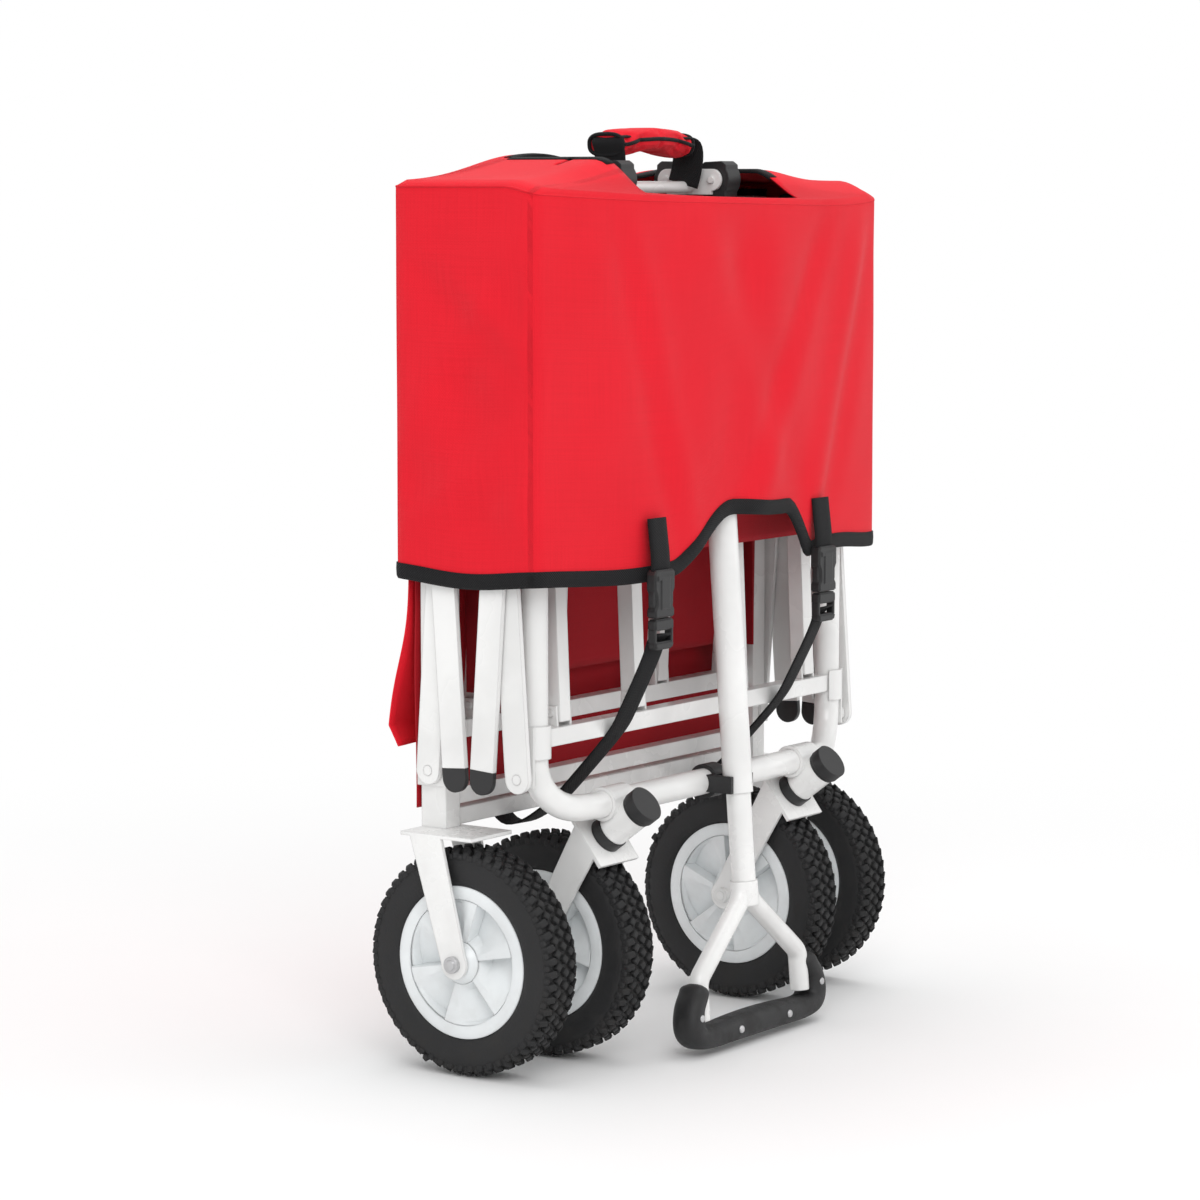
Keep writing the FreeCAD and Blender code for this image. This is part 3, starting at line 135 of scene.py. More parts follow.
wear_group, _, ends = new_group("worn_and_dusty", [], [("Blotches", "NodeSocketFloat"),
                                ("Dust", "NodeSocketFloat"), ("Edges", "NodeSocketFloat"),
                                ("Rounded", "NodeSocketVector")])
place = wear_group.nodes.new("ShaderNodeTexCoord").outputs["Object"]
blotches = noise_of(wear_group, place, 9)
height = wear_group.nodes.new("ShaderNodeSeparateXYZ")
wear_group.links.new(place, height.inputs["Vector"])
low_down = math_of(wear_group, "SUBTRACT", 1.0, ramp_of(wear_group, height.outputs["Z"], 0, 0.24))
speckle = ramp_of(wear_group, noise_of(wear_group, place, 70, 6), 0.42, 0.72)
rounded = wear_group.nodes.new("ShaderNodeBevel")
rounded.samples = 4
rounded.inputs["Radius"].default_value = 0.0016
facing = wear_group.nodes.new("ShaderNodeNewGeometry")
sharp = wear_group.nodes.new("ShaderNodeVectorMath")
sharp.operation = "DOT_PRODUCT"
wear_group.links.new(rounded.outputs["Normal"], sharp.inputs[0])
wear_group.links.new(facing.outputs["Normal"], sharp.inputs[1])
on_edge = math_of(wear_group, "MULTIPLY", math_of(wear_group, "SUBTRACT", 1.0,
                  ramp_of(wear_group, sharp.outputs["Value"], 0.82, 0.99)),
                  ramp_of(wear_group, noise_of(wear_group, place, 45, 5), 0.45, 0.62))
wear_group.links.new(blotches, ends.inputs["Blotches"])
wear_group.links.new(math_of(wear_group, "MULTIPLY", low_down, speckle), ends.inputs["Dust"])
wear_group.links.new(on_edge, ends.inputs["Edges"])
wear_group.links.new(rounded.outputs["Normal"], ends.inputs["Rounded"])

grain_group, starts, ends = new_group("moulded_grain", [("Scale", 900.0), ("Depth", 0.2)],
                                      [("Normal", "NodeSocketVector")])
place = grain_group.nodes.new("ShaderNodeTexCoord").outputs["Object"]
grain = grain_group.nodes.new("ShaderNodeTexNoise")
grain.inputs["Detail"].default_value = 3
grain_group.links.new(place, grain.inputs["Vector"])
grain_group.links.new(starts.outputs["Scale"], grain.inputs["Scale"])
grain_bump = grain_group.nodes.new("ShaderNodeBump")
grain_bump.inputs["Distance"].default_value = 0.0004
grain_group.interface.new_socket(name="Rounded", in_out="INPUT", socket_type="NodeSocketVector")
grain_group.links.new(starts.outputs["Rounded"], grain_bump.inputs["Normal"])
grain_group.links.new(starts.outputs["Depth"], grain_bump.inputs["Strength"])
grain_group.links.new(grain.outputs["Fac"], grain_bump.inputs["Height"])
grain_group.links.new(grain_bump.outputs["Normal"], ends.inputs["Normal"])


def mix_of(tree, share, first, second):
    """A colour mixed from two colours or sockets."""
    node = tree.nodes.new("ShaderNodeMix")
    node.data_type = "RGBA"
    tree.links.new(share, node.inputs["Factor"])
    for label, value in (("A", first), ("B", second)):
        socket = next(s for s in node.inputs if s.name == label and s.type == "RGBA")
        if isinstance(value, tuple):
            socket.default_value = (*value, 1)
        else:
            tree.links.new(value, socket)
    return next(s for s in node.outputs if s.type == "RGBA")


def new_material(name):
    """A material with a Principled surface: its tree and that surface's node."""
    made = bpy.data.materials.new(name)
    made.use_nodes = True
    return made, made.node_tree, made.node_tree.nodes["Principled BSDF"]


def use_group(tree, group, **values):
    """A node that uses one of the shared groups, with its inputs set."""
    node = tree.nodes.new("ShaderNodeGroup")
    node.node_tree = group
    for label, value in values.items():
        node.inputs[label].default_value = value
    return node


def hard_material(name, colour, worn, rough, grain_depth, grain_scale=900.0, metal=0.0, coat=0.0,
                  dust=0.12):
    """Paint, plastic, steel or rubber: blotchy, dusty near the floor and lighter on its edges."""
    made, tree, surface = new_material(name)
    wear = use_group(tree, wear_group)
    darker = tuple(0.86 * part for part in colour)
    base = mix_of(tree, ramp_of(tree, wear.outputs["Blotches"], 0.35, 0.65), colour, darker)
    base = mix_of(tree, math_of(tree, "MULTIPLY", wear.outputs["Edges"], 0.3), base, worn)
    base = mix_of(tree, math_of(tree, "MULTIPLY", wear.outputs["Dust"], dust), base,
                  (0.42, 0.39, 0.35))
    tree.links.new(base, surface.inputs["Base Color"])
    gloss = math_of(tree, "MULTIPLY_ADD", wear.outputs["Blotches"], 0.16, rough - 0.08)
    gloss = math_of(tree, "MULTIPLY_ADD", wear.outputs["Dust"], 0.25, gloss)
    tree.links.new(gloss, surface.inputs["Roughness"])
    fine = use_group(tree, grain_group, Scale=grain_scale, Depth=grain_depth)
    tree.links.new(wear.outputs["Rounded"], fine.inputs["Rounded"])
    tree.links.new(fine.outputs["Normal"], surface.inputs["Normal"])
    surface.inputs["Metallic"].default_value = metal
    surface.inputs["Coat Weight"].default_value = coat
    surface.inputs["Coat Roughness"].default_value = 0.15
    return made


white_paint = hard_material("white_paint", (0.87, 0.87, 0.86), (0.80, 0.80, 0.79), 0.28, 0.06,
                            240.0, coat=0.5, dust=0.08)
zinc_plate = hard_material("zinc_plate", (0.62, 0.62, 0.63), (0.85, 0.85, 0.85), 0.34, 0.15,
                           700.0, metal=1.0)
black_plastic = hard_material("black_plastic", (0.016, 0.016, 0.017), (0.06, 0.06, 0.06), 0.44,
                              0.35, dust=0.03)
steel_and_plastic = {"white_steel": white_paint, "zinc": zinc_plate,
                     "black_plastic": black_plastic}
for part in frame["record"]["subparts"]:
    piece = nodes[part["node"]]
    piece.data.materials.clear()
    piece.data.materials.append(steel_and_plastic.get(part["material_slot"], white_paint))


# ---------------------------------------------------------------- cover
# The cover is a box sewn from bright red woven polyester, open at the foot, with an opening in
# its top for the carry strap. It is drawn over the folded wagon and hangs from the leg caps,
# so a fitted shape is made first and a short cloth simulation lets it settle.

weave_group, starts, ends = new_group("cloth_weave", [("Pitch", 0.0009), ("Depth", 0.0003)],
                                      [("Normal", "NodeSocketVector"),
                                       ("Thread_Shade", "NodeSocketFloat"),
                                       ("Streaks", "NodeSocketFloat")])
flat_place = weave_group.nodes.new("ShaderNodeUVMap").outputs["UV"]
axes = weave_group.nodes.new("ShaderNodeSeparateXYZ")
weave_group.links.new(flat_place, axes.inputs["Vector"])
turns = math_of(weave_group, "DIVIDE", 2 * math.pi, starts.outputs["Pitch"])
warp = math_of(weave_group, "SINE", math_of(weave_group, "MULTIPLY", axes.outputs["X"], turns))
weft = math_of(weave_group, "SINE", math_of(weave_group, "MULTIPLY", axes.outputs["Y"], turns))
# This pattern is the weave's bump height, and it also becomes painted shade in the cloth's colour.
thread_height_and_shade = math_of(weave_group, "MULTIPLY_ADD", math_of(weave_group, "MULTIPLY", warp, weft),
                  0.5, 0.5)
streaks = []
for stretch in ((14, 900, 1), (900, 14, 1)):
    long_way = weave_group.nodes.new("ShaderNodeMapping")
    long_way.inputs["Scale"].default_value = stretch
    weave_group.links.new(flat_place, long_way.inputs["Vector"])
    streaks.append(noise_of(weave_group, long_way.outputs["Vector"], 1.0, 2))
streak = math_of(weave_group, "MULTIPLY", math_of(weave_group, "ADD", *streaks), 0.5)
raised = math_of(weave_group, "ADD", thread_height_and_shade, math_of(weave_group, "MULTIPLY", streak, 0.8))
weave_bump = weave_group.nodes.new("ShaderNodeBump")
weave_bump.inputs["Strength"].default_value = 0.8
weave_group.links.new(starts.outputs["Depth"], weave_bump.inputs["Distance"])
weave_group.links.new(raised, weave_bump.inputs["Height"])
weave_group.links.new(weave_bump.outputs["Normal"], ends.inputs["Normal"])
weave_group.links.new(thread_height_and_shade, ends.inputs["Thread_Shade"])
weave_group.links.new(streak, ends.inputs["Streaks"])


def cloth_material(name, colour, shade, pitch, depth, rough=0.8, sheen=0.06):
    """Woven cloth or webbing, with painted shading in the weave's hollows, streaky yarns and
    slightly uneven dye.
    """
    made, tree, surface = new_material(name)
    weave = use_group(tree, weave_group, Pitch=pitch, Depth=depth)
    wear = use_group(tree, wear_group)
    # Painted shade: the colour darkens in the weave's hollows. The streaks and blotches below are
    # yarn and dye.
    base = mix_of(tree, ramp_of(tree, weave.outputs["Thread_Shade"], 0.0, 0.9), shade, colour)
    base = mix_of(tree, math_of(tree, "MULTIPLY", ramp_of(tree, weave.outputs["Streaks"],
                  0.38, 0.66), 0.35), base, shade)
    base = mix_of(tree, math_of(tree, "MULTIPLY", ramp_of(tree, wear.outputs["Blotches"],
                  0.4, 0.8), 0.25), base, shade)
    tree.links.new(base, surface.inputs["Base Color"])
    tree.links.new(math_of(tree, "MULTIPLY_ADD", wear.outputs["Blotches"], 0.15, rough - 0.08),
                   surface.inputs["Roughness"])
    tree.links.new(weave.outputs["Normal"], surface.inputs["Normal"])
    surface.inputs["Specular IOR Level"].default_value = 0.20
    surface.inputs["Sheen Weight"].default_value = sheen
    surface.inputs["Sheen Roughness"].default_value = 0.4
    return made


red_cloth = cloth_material("red_cloth", (0.87, 0.012, 0.029), (0.65, 0.007, 0.017), 0.0011,
                           0.00022, rough=0.74)


def put_in_scene(name, points, faces, flat=None, material=None, smooth=True):
    """A mesh object from points, faces and, for cloth, each point's place on the flat cloth."""
    mesh = bpy.data.meshes.new(name)
    mesh.from_pydata([tuple(p) for p in points], [], faces)
    if flat is not None:
        layer = mesh.uv_layers.new(name="UVMap")
        corners = np.zeros(len(mesh.loops), dtype=np.int32)
        mesh.loops.foreach_get("vertex_index", corners)
        layer.data.foreach_set("uv", np.asarray(flat, float)[corners].ravel())
    if material:
        mesh.materials.append(material)
    mesh.polygons.foreach_set("use_smooth", [smooth] * len(mesh.polygons))
    made = bpy.data.objects.new(name, mesh)
    scene.collection.objects.link(made)
    return made


def points_of(piece):
    """The points of a piece's mesh, one row each."""
    places = np.zeros(len(piece.data.vertices) * 3)
    piece.data.vertices.foreach_get("co", places)
    return places.reshape(-1, 3)


def settle(piece, frames, limit):
    """Runs a piece's cloth and keeps its shape, with no point moved further than the limit."""
    first = points_of(piece)
    for step in range(1, frames + 1):
        scene.frame_set(step)
    seen = piece.evaluated_get(bpy.context.evaluated_depsgraph_get()).to_mesh()
    last = np.zeros(len(first) * 3)
    seen.vertices.foreach_get("co", last)
    moved = last.reshape(-1, 3) - first
    size = np.linalg.norm(moved, axis=1)[:, None]
    moved *= np.where(size > limit, limit / np.maximum(size, 1e-9), 1)
    piece.modifiers.clear()
    piece.vertex_groups.clear()
    piece.data.vertices.foreach_set("co", (first + moved).ravel())
    scene.frame_set(1)


def quads(rows, columns, closed):
    """Faces of a grid of points, row by row; a closed grid joins its last column to its first."""
    last = columns if closed else columns - 1
    return [(r * columns + c, r * columns + (c + 1) % columns,
             (r + 1) * columns + (c + 1) % columns, (r + 1) * columns + c)
            for r in range(rows - 1) for c in range(last)]


def spaced(points, count, closed=True):
    """That many points, evenly spaced along a line."""
    line = np.asarray(points, float)
    if closed:
        line = np.vstack([line, line[:1]])
    run = np.concatenate([[0], np.cumsum(np.linalg.norm(np.diff(line, axis=0), axis=1))])
    at = np.linspace(0, run[-1], count, endpoint=not closed)
    return np.stack([np.interp(at, run, line[:, k]) for k in range(line.shape[1])], 1)


def cover_height(x, y):
    """The height of the cover's top: lower along its front, tented up beside the opening."""
    front_edge = 0.6835 - 0.009 * (x + cover_half) / (2 * cover_half)
    tent = 0.021 * np.exp(-((x + 0.085) / 0.085) ** 2) + 0.009 * np.exp(-((x - 0.11) / 0.05) ** 2)
    rise = np.clip((y + 0.088) / 0.050, 0, 1)
    return front_edge + (0.692 + tent - front_edge) * rise * rise * (3 - 2 * rise)


cover_half, cover_rear, cover_hem = 0.2475, 0.066, 0.386
front_corner, front_bulge = 0.068, 0.025
front_x = np.linspace(-cover_half, cover_half, 60)
front_y = -front_corner - front_bulge * (1 - (front_x / cover_half) ** 2)
outline = np.vstack([np.stack([front_x, front_y], 1), [[cover_half, cover_rear]],
                     [[-cover_half, cover_rear]]])
columns = 240
rim = spaced(outline, columns)
for _ in range(2):
    rim = (np.roll(rim, 1, 0) + 2 * rim + np.roll(rim, -1, 0)) / 4
mouth_low, mouth_high = np.array([-0.118, -0.080]), np.array([0.101, 0.046])
mouth = np.clip(rim, mouth_low, mouth_high)
mouth_front = rim[:, 1] < -0.02
mouth[mouth_front, 1] = np.maximum(rim[mouth_front, 1] + 0.007, -0.087)
inward = np.linspace(1, 0, 16)[:, None, None] ** 0.9
top_rows = mouth[None] * inward + rim[None] * (1 - inward)
front_face = (rim[:, 1] < -0.055)
arch = np.clip((rim[:, 0] + 0.094) / 0.088, 0, 1) * front_face
fall = np.clip((0.110 - rim[:, 0]) / 0.040, 0, 1)
arch = (arch ** 2 * (3 - 2 * arch)) * (fall ** 2 * (3 - 2 * fall)) * 0.041
hem_z = cover_hem + arch + 0.0025 * np.sin(rim[:, 0] * 31 + rim[:, 1] * 40)
down = np.linspace(0, 1, 50)[:, None]
wall_z = (cover_height(rim[:, 0], rim[:, 1]) - 0.004)[None] * (1 - down) + hem_z[None] * down
wall = np.dstack([np.repeat(rim[None], 50, 0), wall_z])

top = np.dstack([top_rows, cover_height(top_rows[:, :, 0], top_rows[:, :, 1])])
shell = np.vstack([top[:-1], wall])
rows = len(shell)
x, y, z = shell[:, :, 0], shell[:, :, 1], shell[:, :, 2]
below_top = np.clip((0.680 - z) / 0.05, 0, 1) * np.clip((z - 0.380) / 0.06, 0, 1)


def fold(along, across, at, tilt, wide, deep):
    """A soft crease: a dip beside a ridge, along a line that leans by tilt."""
    off = (along - at - tilt * across) / wide
    return deep * (np.exp(-off ** 2) - 0.8 * np.exp(-(off - 1.5) ** 2))


drop = 0.690 - z
front_folds = (fold(x, drop, -0.170, 0.30, 0.016, 0.0030)
               + fold(x, drop, 0.225, -0.42, 0.020, -0.0050)
               + fold(x, drop, 0.010, -0.12, 0.030, 0.0032)
               + fold(x, drop, 0.150, -0.60, 0.018, 0.0028)
               + fold(x, drop, -0.060, 0.45, 0.026, -0.0026)
               + 0.0016 * np.sin(x * 52 + drop * 19) * np.sin(drop * 24 + 0.6))
side_folds = (fold(drop, y, 0.075, -0.85, 0.018, 0.0022)
              + fold(drop, y, 0.150, -0.55, 0.022, -0.0022)
              + fold(drop, y, 0.225, 0.70, 0.020, 0.0022)
              + fold(drop, y, 0.115, 1.30, 0.018, 0.0016)
              + 0.0007 * np.sin(drop * 95 + y * 50))
in_side = np.clip(1 - (np.abs(y + 0.002) / 0.064) ** 4, 0, 1) * (np.abs(x) > cover_half - 0.004)
in_front = np.clip(1 - (np.abs(x) / 0.246) ** 8, 0, 1) * (y < -0.055)
in_rear = np.clip(1 - (np.abs(x) / 0.246) ** 8, 0, 1) * (y > 0.060)
sag = 0.004 * np.sin(np.pi * np.clip(drop / 0.30, 0, 1)) * np.clip(1 - np.abs(y) / 0.07, 0, 1)
shell[:, :, 0] += np.sign(x) * (side_folds - sag) * in_side * below_top
shell[:, :, 1] += (front_folds * in_front - 0.6 * front_folds[:, ::-1] * in_rear) * below_top
flat_u = np.repeat((np.arange(columns) * np.linalg.norm(rim[1] - rim[0]))[None], rows, 0)
flat_v = np.concatenate([[0], np.cumsum(np.abs(np.linalg.norm(
    np.diff(shell[:, 20], axis=0), axis=1)))])[:, None] + np.zeros((1, columns))
cover = put_in_scene("cover_cloth", shell.reshape(-1, 3), quads(rows, columns, True),
                     np.stack([flat_u, flat_v], 2).reshape(-1, 2), red_cloth)
bpy.ops.mesh.primitive_cube_add(size=1, location=(0, -0.004, 0.50))
form = bpy.context.object
form.scale = (0.446, 0.096, 0.330)
form.modifiers.new("hit", "COLLISION")
form.collision.thickness_outer = 0.002
hold = cover.vertex_groups.new(name="held")
up = shell[:, :, 2].ravel()
top_held = np.clip((up - 0.640) / 0.034, 0, 1)
hem_held = 0.12 * np.clip((0.400 - up) / 0.01, 0, 1)
for index, weight in enumerate(np.maximum(top_held, hem_held)):
    if weight > 0.02:
        hold.add([index], float(weight), "REPLACE")
cloth = cover.modifiers.new("cloth", "CLOTH")
cloth.settings.quality = 6
cloth.settings.mass = 0.35
cloth.settings.tension_stiffness = 18
cloth.settings.compression_stiffness = 18
cloth.settings.shear_stiffness = 8
cloth.settings.bending_stiffness = 1.2
cloth.settings.shrink_min = -0.010
cloth.settings.vertex_group_mass = "held"
cloth.collision_settings.distance_min = 0.003
cloth.point_cache.frame_end = 30
settle(cover, 30, limit=0.012)
bpy.data.objects.remove(form)
shell = points_of(cover).reshape(rows, columns, 3)
ripple = (np.sin(drop * 47 + y * 58) * np.sin(drop * 21 - y * 30 + 0.9)
          + 0.6 * np.sin(drop * 83 - y * 74 + 2.0) * np.sin(drop * 33 + 0.4))
shell[:, :, 0] += np.sign(x) * 0.0019 * (1.1 + ripple) * in_side * below_top
cover.data.vertices.foreach_set("co", shell.ravel())

cloth_thick = cover.modifiers.new("thick", "SOLIDIFY")
cloth_thick.thickness = 0.0009
cloth_thick.offset = -1
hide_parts("cover")
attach(cover, "cover")


# ---------------------------------------------------------------- cover binding and seams
# Black woven tape is folded over the cover's hem and the opening's edge and sewn through. The
# seams stand out as narrow ridges down the four corners and round the top.

def swept(name, line, ups, profile, material, closed):
    """A profile carried along a line: each place has a point, an across and an up direction."""
    line, ups = np.asarray(line), np.asarray(ups)
    ahead = np.roll(line, -1, 0) - np.roll(line, 1, 0)
    if not closed:
        ahead[0], ahead[-1] = line[1] - line[0], line[-1] - line[-2]
    ahead /= np.linalg.norm(ahead, axis=1)[:, None]
    ups = ups - (ups * ahead).sum(1)[:, None] * ahead
    ups /= np.linalg.norm(ups, axis=1)[:, None]
    across = np.cross(ahead, ups)
    profile = np.asarray(profile)
    points = (line[:, None] + across[:, None] * profile[None, :, :1]
              + ups[:, None] * profile[None, :, 1:])
    count, sides = points.shape[:2]
    faces = []
    for r in range(count if closed else count - 1):
        for c in range(sides):
            a, b = r * sides + c, r * sides + (c + 1) % sides
            e, d = (a + sides) % (count * sides), (b + sides) % (count * sides)
            faces.append((a, e, d, b))
    if not closed:
        faces.append(tuple(range(sides)))
        faces.append(tuple(range((count - 1) * sides, count * sides))[::-1])
    run = np.concatenate([[0], np.cumsum(np.linalg.norm(np.diff(line, axis=0), axis=1))])
    girth = np.concatenate([[0], np.cumsum(np.linalg.norm(np.diff(profile, axis=0), axis=1))])
    flat = np.stack(np.broadcast_arrays(run[:, None], girth[None]), 2).reshape(-1, 2)
    return put_in_scene(name, points.reshape(-1, 3), faces, flat, material)


def tape_profile(width, thick):
    """The outline of a tape folded over an edge at height 0."""
    return [(-thick, width), (-thick * 1.15, width * 0.5), (-thick, 0), (-thick * 0.5, -thick),
            (thick * 0.5, -thick), (thick, 0), (thick * 1.15, width * 0.5), (thick, width),
            (thick * 0.4, width), (-thick * 0.4, width)]


black_webbing = cloth_material("black_webbing", (0.016, 0.016, 0.017), (0.006, 0.006, 0.007),
                               0.0022, 0.0007, sheen=0.04)
trim = []
hem_tape = swept("cover_hem_tape", shell[-1], shell[-4] - shell[-1], tape_profile(0.0105, 0.0019),
                 black_webbing, True)
taped = np.flatnonzero(mouth[:, 1] > -0.055)
gap_at = int(np.argmax(np.diff(taped))) + 1 if np.diff(taped).max() > 1 else 0
taped = np.roll(taped, -gap_at)
mouth_tape = swept("cover_opening_tape", shell[0, taped], shell[2, taped] - shell[0, taped],
                   tape_profile(0.009, 0.0016), black_webbing, False)
trim += [hem_tape, mouth_tape]
ridge = [(0.0011 * math.cos(a), 0.0011 * math.sin(a)) for a in np.linspace(0, 2 * math.pi, 7)[:-1]]
corner_columns = [int(np.argmin(np.abs(rim[:, 0] - sx * cover_half) + np.abs(rim[:, 1] - y)))
                  for sx in (-1, 1) for y in (-front_corner - 0.001, cover_rear)]
for index, column in enumerate(corner_columns):
    line = shell[15:-1, column]
    outward = np.stack([line[:, 0], line[:, 1] * 2.2, line[:, 2] * 0], 1)
    seam = swept("cover_seam_%d" % index, line, outward, ridge, red_cloth, False)
    trim.append(seam)
top_seam = swept("cover_top_seam", shell[15] * (1.001, 1.001, 1), np.tile([0, 0, 1.0],
                 (columns, 1)), ridge, red_cloth, True)
trim.append(top_seam)
for piece in trim:
    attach(piece, "cover")


# ---------------------------------------------------------------- webbing straps and tabs
# Two tabs of flat black webbing are sewn to the cover's front and hold the buckles' sockets.
# A longer strap runs from each plug under the wagon and up its rear to the cover's hem.

def smooth_line(points, count):
    """Points along a smooth curve that stays close to the given corners."""
    curve = bpy.data.curves.new("route", "CURVE")
    curve.dimensions = "3D"
    spline = curve.splines.new("NURBS")
    spline.points.add(len(points) - 1)
    for point, at in zip(spline.points, points):
        point.co = (*at, 1)
    spline.order_u = 3
    spline.use_endpoint_u = True
    spline.resolution_u = 12
    holder = bpy.data.objects.new("route", curve)
    mesh = bpy.data.meshes.new_from_object(holder)
    line = np.array([v.co for v in mesh.vertices])
    bpy.data.objects.remove(holder)
    bpy.data.curves.remove(curve)
    bpy.data.meshes.remove(mesh)
    return spaced(line, count, closed=False)


def web_profile(width, thick):
    """The outline of flat webbing with rounded edges."""
    half, deep = width / 2, thick / 2
    return [(-half, 0), (-half + deep, deep), (-half * 0.4, deep * 1.1), (half * 0.4, deep * 1.1),
            (half - deep, deep), (half, 0), (half - deep, -deep), (-half + deep, -deep)]


strap_thick = 0.0016
straps = []
for side, sign in (("left", -1), ("right", 1)):
    x = sign * 0.120
    socket_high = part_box("buckle_sockets")[1]
    plug_low, plug_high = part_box("buckle_plug_" + side)
    plane = (plug_low.y + plug_high.y) / 2
    front = [(x, plane + 0.004, 0.432), (x, plane + 0.002, 0.415), (x, plane, 0.400),
             (x, plane, socket_high.z - 0.006)]
    line = smooth_line(front, 14)
    tab = swept("hem_tab_" + side, line, np.tile([0, -1.0, 0], (14, 1)),
                web_profile(0.025, 0.0032), black_webbing, False)
    route = [(x, plane - 0.003, plug_low.z + 0.012), (x, plane + 0.004, plug_low.z + 0.010),
             (x, plane + 0.006, plug_low.z - 0.002),
             (x * 0.995, -0.066, 0.280), (x * 0.99, -0.056, 0.262), (x * 0.985, -0.012, 0.216),
             (x * 0.985, 0.004, 0.200), (x, 0.036, 0.178),
             (x, 0.058, 0.181), (x, 0.098, 0.245), (x, 0.074, 0.330), (x, 0.070, 0.392)]
    line = smooth_line(route, 90)
    ahead = np.gradient(line, axis=0)
    outward = np.cross(ahead, np.tile([1.0, 0.12 * sign, 0], (90, 1)))
    strap = swept("under_strap_" + side, line, outward, web_profile(0.022, strap_thick),
                  black_webbing, False)
    straps += [tab, strap]
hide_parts("cover_webbing")
for piece in straps:
    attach(piece, "cover")


# ---------------------------------------------------------------- buckles
# Each side-release buckle is moulded in black plastic: a waisted socket under its tab, and a
# plug whose two prongs snap into the socket's side notches. The strap passes round the bar at
# the plug's foot.

def plates(name, outlines, place, material):
    """Flat pieces with rounded edges, each from an outline of (x, z), a depth and a thickness."""
    whole = bmesh.new()
    for outline, out, thick, edge in outlines:
        shape = bmesh.new()
        face = shape.faces.new([shape.verts.new((x, -out, z)) for x, z in outline])
        face.normal_update()
        back = bmesh.ops.extrude_face_region(shape, geom=[face])
        for item in back["geom"]:
            if isinstance(item, bmesh.types.BMVert):
                item.co.y += thick
        bmesh.ops.recalc_face_normals(shape, faces=shape.faces)
        bmesh.ops.bevel(shape, geom=shape.edges[:], offset=edge, segments=2, affect="EDGES",
                        clamp_overlap=True)
        part = bpy.data.meshes.new("part")
        shape.to_mesh(part)
        shape.free()
        whole.from_mesh(part)
        bpy.data.meshes.remove(part)
    for v in whole.verts:
        v.co += Vector(place)
    mesh = bpy.data.meshes.new(name)
    whole.to_mesh(mesh)
    whole.free()
    mesh.materials.append(material)
    made = bpy.data.objects.new(name, mesh)
    scene.collection.objects.link(made)
    return made


def mirrored(half):
    """A symmetric outline from the points of its right half, top to foot."""
    return half + [(-x, z) for x, z in reversed(half)]


top_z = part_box("buckle_sockets")[1].z
for side in ("left", "right"):
    low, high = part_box("buckle_plug_" + side)
    middle_x, middle_y = (low.x + high.x) / 2, (low.y + high.y) / 2
    tall = top_z - low.z
    body = [(0.0118, 0.0), (0.0136, -0.0022), (0.0136, -0.24 * tall), (0.0108, -0.32 * tall),
            (0.0104, -0.44 * tall), (0.0130, -0.50 * tall), (0.0130, -0.60 * tall)]
    inset = [(0.0062, -0.08 * tall), (0.0062, -0.50 * tall)]
    bar = [(0.0110, -0.004), (0.0110, -0.0085)]
    socket = plates("buckle_socket_" + side + "_shown", [
        (mirrored(body), 0.0046, 0.0092, 0.0011), (mirrored(inset), 0.0053, 0.0020, 0.0006),
        (mirrored(bar), 0.0055, 0.0020, 0.0007)],
        (middle_x, middle_y, top_z), black_plastic)
    if side == "left":
        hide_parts("buckle_sockets")
    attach(socket, "cover")
    prong = [(0.0126, -0.25 * tall), (0.0134, -0.32 * tall), (0.0134, -0.44 * tall),
             (0.0112, -0.50 * tall), (0.0092, -0.50 * tall), (0.0092, -0.25 * tall)]
    crown = [(0.0122, -0.615 * tall), (0.0128, -0.66 * tall), (0.0128, -0.76 * tall)]
    foot = [(0.0128, -0.90 * tall), (0.0128, -0.94 * tall), (0.0112, -tall)]
    rail = [(0.0128, -0.74 * tall), (0.0128, -0.92 * tall), (0.0100, -0.92 * tall),
            (0.0100, -0.74 * tall)]
    plug = plates("buckle_plug_" + side + "_shown", [
        (prong, 0.0030, 0.0060, 0.0006),
        ([(-x, z) for x, z in prong][::-1], 0.0030, 0.0060, 0.0006),
        (mirrored(crown), 0.0042, 0.0084, 0.0012), (mirrored(foot), 0.0042, 0.0084, 0.0014),
        (rail, 0.0034, 0.0068, 0.0005),
        ([(-x, z) for x, z in rail][::-1], 0.0034, 0.0068, 0.0005)],
        (middle_x, middle_y, top_z), black_plastic)
    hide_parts("buckle_plug_" + side)
    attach(plug, "plug_" + side)


# ---------------------------------------------------------------- wheels
# Each wheel is a black rubber tyre on a pale moulded hub. The tyre is a carcass with seven rows
# of tread blocks, and the hub is a dish with six slanted pockets, a raised rim and a boss.

tyre_rubber = hard_material("tyre_rubber", (0.010, 0.010, 0.011), (0.035, 0.035, 0.035), 0.66,
                            0.6, 500.0, dust=0.035)
hub_plastic = hard_material("hub_plastic", (0.84, 0.87, 0.88), (0.9, 0.9, 0.9), 0.30, 0.12, 300.0,
                            coat=0.25)

